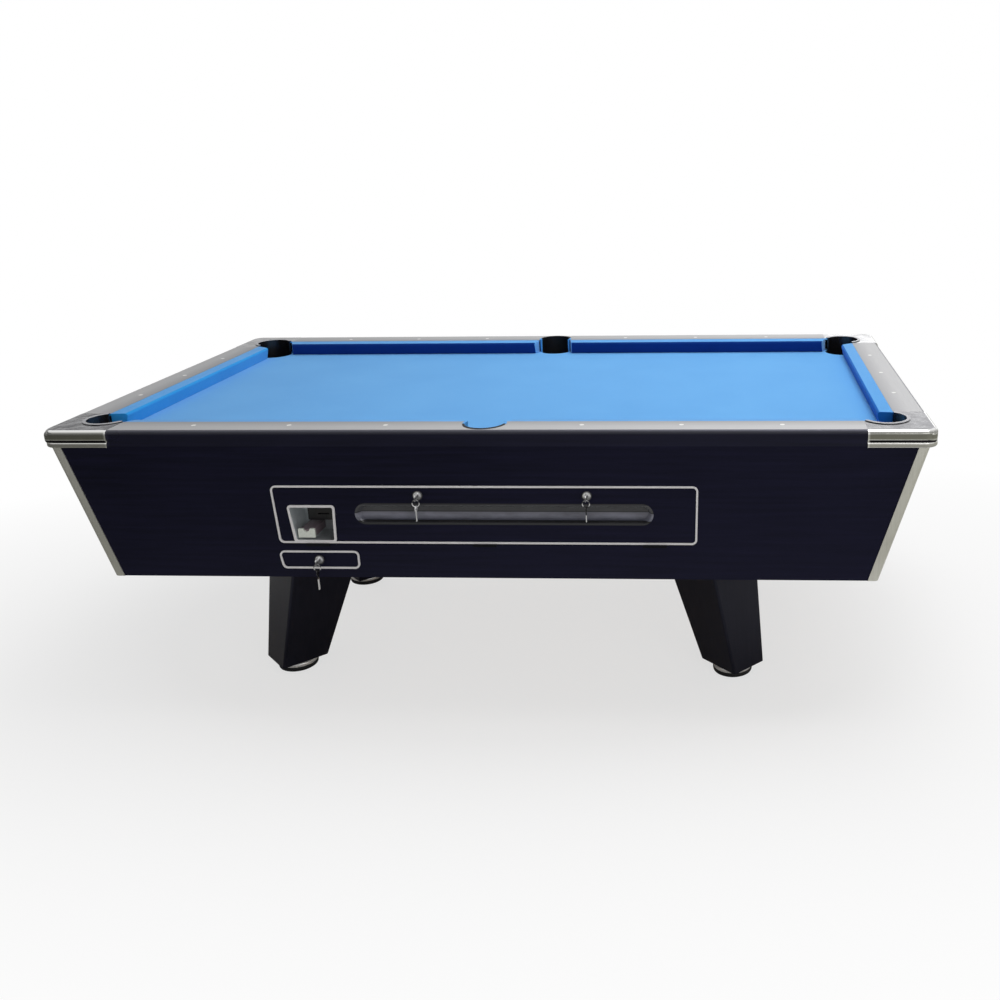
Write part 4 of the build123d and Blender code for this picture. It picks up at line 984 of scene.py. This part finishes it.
# %% [markdown]
# ## Chrome and rubber for the feet
# The cup is worn plating, between metal and grey, with faint smears in its gloss. The base is matt rubber.


# %% Foot finishes
def plated(name, color, roughness, metallic):
    """Plating with faint smears in its colour and gloss."""
    material, shader = finish(name, color, roughness, metallic)
    smears = grain(material, 25.0, detail=5.0)
    deep = tuple(part * 0.9 for part in color)
    paint(material, shader, two_tone(material, smears, color, deep, start=0.35))
    polish(material, shader, shift_range(material, smears, 0.35, 0.7, roughness * 0.6, roughness * 1.7))
    return material


foot_chrome = plated("foot_chrome", (0.88, 0.87, 0.85), 0.2, 0.4)
rubber_black = moulded("rubber_black", (0.008, 0.008, 0.009), (0.016, 0.016, 0.017), 0.6, specular=0.3)
print("foot finishes:", foot_chrome.name, rubber_black.name)

# %% [markdown]
# ## Turning the feet
# A circle that is extruded and resized ring by ring follows a profile as a lathe does. One foot is modelled,
# and the other three are copies with meshes of their own, so that each can ride on its own body.


# %% Feet
def turned(x, y, profile, surface, sides=64):
    """A solid turned about an upright axis, from (radius, height) pairs that start and end at a flat."""
    deselect()
    radius, height = profile[0]
    bpy.ops.mesh.primitive_circle_add(
        vertices=sides, radius=radius, fill_type="NGON", location=(x, y, height),
    )
    piece = bpy.context.object
    apply_place()
    edit(piece)
    choose("FACE", lambda f: True)
    for next_radius, next_height in profile[1:]:
        bpy.ops.mesh.extrude_region_move(TRANSFORM_OT_translate={"value": (0, 0, next_height - height)})
        grow = next_radius / radius
        bpy.ops.transform.resize(value=(grow, grow, 1), center_override=(x, y, next_height))
        radius, height = next_radius, next_height
    bpy.ops.mesh.select_all(action="SELECT")
    bpy.ops.mesh.normals_make_consistent(inside=False)
    deselect()
    piece.data.materials.append(surface)
    return piece


base = turned(foot_x, foot_y, base_profile, rubber_black)
cup = turned(foot_x, foot_y, cup_profile, foot_chrome)
nut = turned(foot_x, foot_y, nut_profile, foot_chrome, sides=6)
stud = turned(foot_x, foot_y, stud_profile, foot_chrome, sides=24)
pick(base)
for part in (cup, nut, stud):
    part.select_set(True)
bpy.ops.object.join()
settle(base, "near_right_foot_turned", angle=35)
feet = {"near_right": base}
for corner in corners:
    if corner not in feet:
        copy = base.copy()
        copy.data = base.data.copy()
        copy.name = copy.data.name = corner + "_foot_turned"
        scene.collection.objects.link(copy)
        copy.data.transform(Matrix.Translation(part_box(corner + "_foot")[0] - foot_low))
        feet[corner] = copy
for corner, foot in feet.items():
    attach(foot, corner + "_foot")
    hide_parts(corner + "_foot")
print("feet:", [foot.name for foot in feet.values()])

# %% [markdown]
# ## The floor
# The picture has a plain white ground. The floor is pale near the table, where it takes the shadow, and fades
# to plain white further out, for the eye and for mirrors alike. Under the table it stays dark in reflections,
# as a floor is in a room.

# %% Floor
floor_size = 60.0
seen_near, seen_far, seen_least = 0.7, 1.9, 0.66
mirror_near, mirror_far = 0.75, 1.3
table_shape = (0.6, 1, 1)


def seen_share(material, direct, mirrored):
    """A share for the camera and glass, another for reflections, and zero for the light that bounces."""
    path = node(material, "ShaderNodeLightPath")
    camera_part, glass_part, mirror_part = [
        reckon(material, "MULTIPLY", path.outputs["Is " + ray + " Ray"], share)
        for ray, share in (("Camera", direct), ("Transmission", direct), ("Glossy", mirrored))
    ]
    return reckon(material, "MAXIMUM", reckon(material, "MAXIMUM", camera_part, glass_part), mirror_part)


deselect()
bpy.ops.mesh.primitive_plane_add(size=floor_size, location=(0, 0, 0))
floor = bpy.context.object
floor.name = "studio_floor"
pale, pale_shader = finish("pale_floor", (0.92, 0.92, 0.92), 0.9, specular=0.1)
glow = node(pale, "ShaderNodeEmission", {"Color": (1, 1, 1, 1), "Strength": 1.0})
distance = node(pale, "ShaderNodeVectorMath", operation="LENGTH")
wire(pale, place_on(pale, table_shape), distance.inputs[0])
seen_fade = shift_range(pale, distance.outputs["Value"], seen_near, seen_far, seen_least, 1.0)
mirror_fade = shift_range(pale, distance.outputs["Value"], mirror_near, mirror_far)
mixed = node(pale, "ShaderNodeMixShader")
wire(pale, seen_share(pale, seen_fade, mirror_fade), mixed.inputs["Fac"])
wire(pale, pale_shader.outputs["BSDF"], mixed.inputs[1])
wire(pale, glow.outputs["Emission"], mixed.inputs[2])
wire(pale, mixed.outputs["Shader"], pale.node_tree.nodes["Material Output"].inputs["Surface"])
floor.data.materials.append(pale)
print("floor:", floor.name)

# %% [markdown]
# ## World and lamps
# The world is white where the camera or a mirror sees it, and softer where it lights the table. A broad lamp
# hangs over the bed, as in a showroom, and a weaker one fills the front.

# %% World and lamps
soft_strength = 0.32
world = bpy.data.worlds.new("studio")
scene.world = world
world.use_nodes = True
ambient = world.node_tree.nodes["Background"]
ambient.inputs["Color"].default_value = (1, 1, 1, 1)
ambient.inputs["Strength"].default_value = soft_strength
white = node(world, "ShaderNodeBackground", {"Color": (1, 1, 1, 1), "Strength": 1.0})
chosen = node(world, "ShaderNodeMixShader")
wire(world, seen_share(world, 1.0, 1.0), chosen.inputs["Fac"])
wire(world, ambient.outputs["Background"], chosen.inputs[1])
wire(world, white.outputs["Background"], chosen.inputs[2])
wire(world, chosen.outputs["Shader"], world.node_tree.nodes["World Output"].inputs["Surface"])


def lamp(name, place, aim, size, power):
    """A soft rectangular lamp."""
    light = bpy.data.lights.new(name, "AREA")
    light.shape = "RECTANGLE"
    light.size, light.size_y = size
    light.energy = power
    holder = bpy.data.objects.new(name, light)
    scene.collection.objects.link(holder)
    holder.location = place
    holder.rotation_euler = (Vector(aim) - Vector(place)).to_track_quat("-Z", "Y").to_euler()


lamp("bed_lamp", place=(0.9, 0.3, 3.4), aim=(0.4, 0.1, 0.8), size=(3.4, 2.0), power=79.0)
lamp("front_lamp", place=(2.6, -3.6, 2.2), aim=(0.4, -0.4, 0.4), size=(2.0, 1.6), power=14.0)
print("lamps:", len(bpy.data.lights))

# %% [markdown]
# ## Something to mirror
# Chrome in a white room looks like paper, so a grey surround, seen by reflections alone, gives it something
# to mirror. It is a ring on the floor with a wall, banded by height and brighter towards the right.

# %% Grey surround
surround_in, surround_out, surround_top = 1.6, 6.0, 3.4
surround_long = 1.45
surround_lift = 0.002
side_reach = 3.0
left_strength, right_strength = 0.55, 1.7
deselect()
bpy.ops.mesh.primitive_circle_add(
    vertices=64, radius=surround_in, fill_type="NOTHING",
    location=(0, 0, surround_lift), scale=(surround_long, 1, 1),
)
surround = bpy.context.object
surround.name = "grey_surround"
apply_place()
edit(surround)
choose("EDGE", lambda e: True)
bpy.ops.mesh.extrude_edges_move()
spread = surround_out / surround_in
bpy.ops.transform.resize(value=(spread, spread, 1), center_override=(0, 0, surround_lift))
bpy.ops.mesh.extrude_edges_move(TRANSFORM_OT_translate={"value": (0, 0, surround_top)})
deselect()
grey, grey_shader = finish("surround_grey", (0, 0, 0), 1.0, specular=0.0)
grey_shade = ramp(grey, height_share(grey, 0.0, surround_top), [
    (0.0, (0.3, 0.3, 0.27)),
    (0.27, (0.5, 0.5, 0.49)),
    (0.46, (1.0, 1.0, 1.0)),
    (0.58, (1.0, 1.0, 1.0)),
    (0.64, (0.3, 0.3, 0.31)),
    (0.85, (0.4, 0.4, 0.41)),
    (1.0, (0.8, 0.8, 0.8)),
])
grey_side = shift_range(
    grey, along_axis(grey, "X"), -side_reach, side_reach, left_strength, right_strength,
)
wire(grey, grey_shade, grey_shader.inputs["Emission Color"])
wire(grey, grey_side, grey_shader.inputs["Emission Strength"])
surround.data.materials.append(grey)
for ray in ("camera", "diffuse", "transmission", "volume_scatter", "shadow"):
    setattr(surround, "visible_" + ray, False)
print("surround:", surround.name, "to", surround_out, "m")
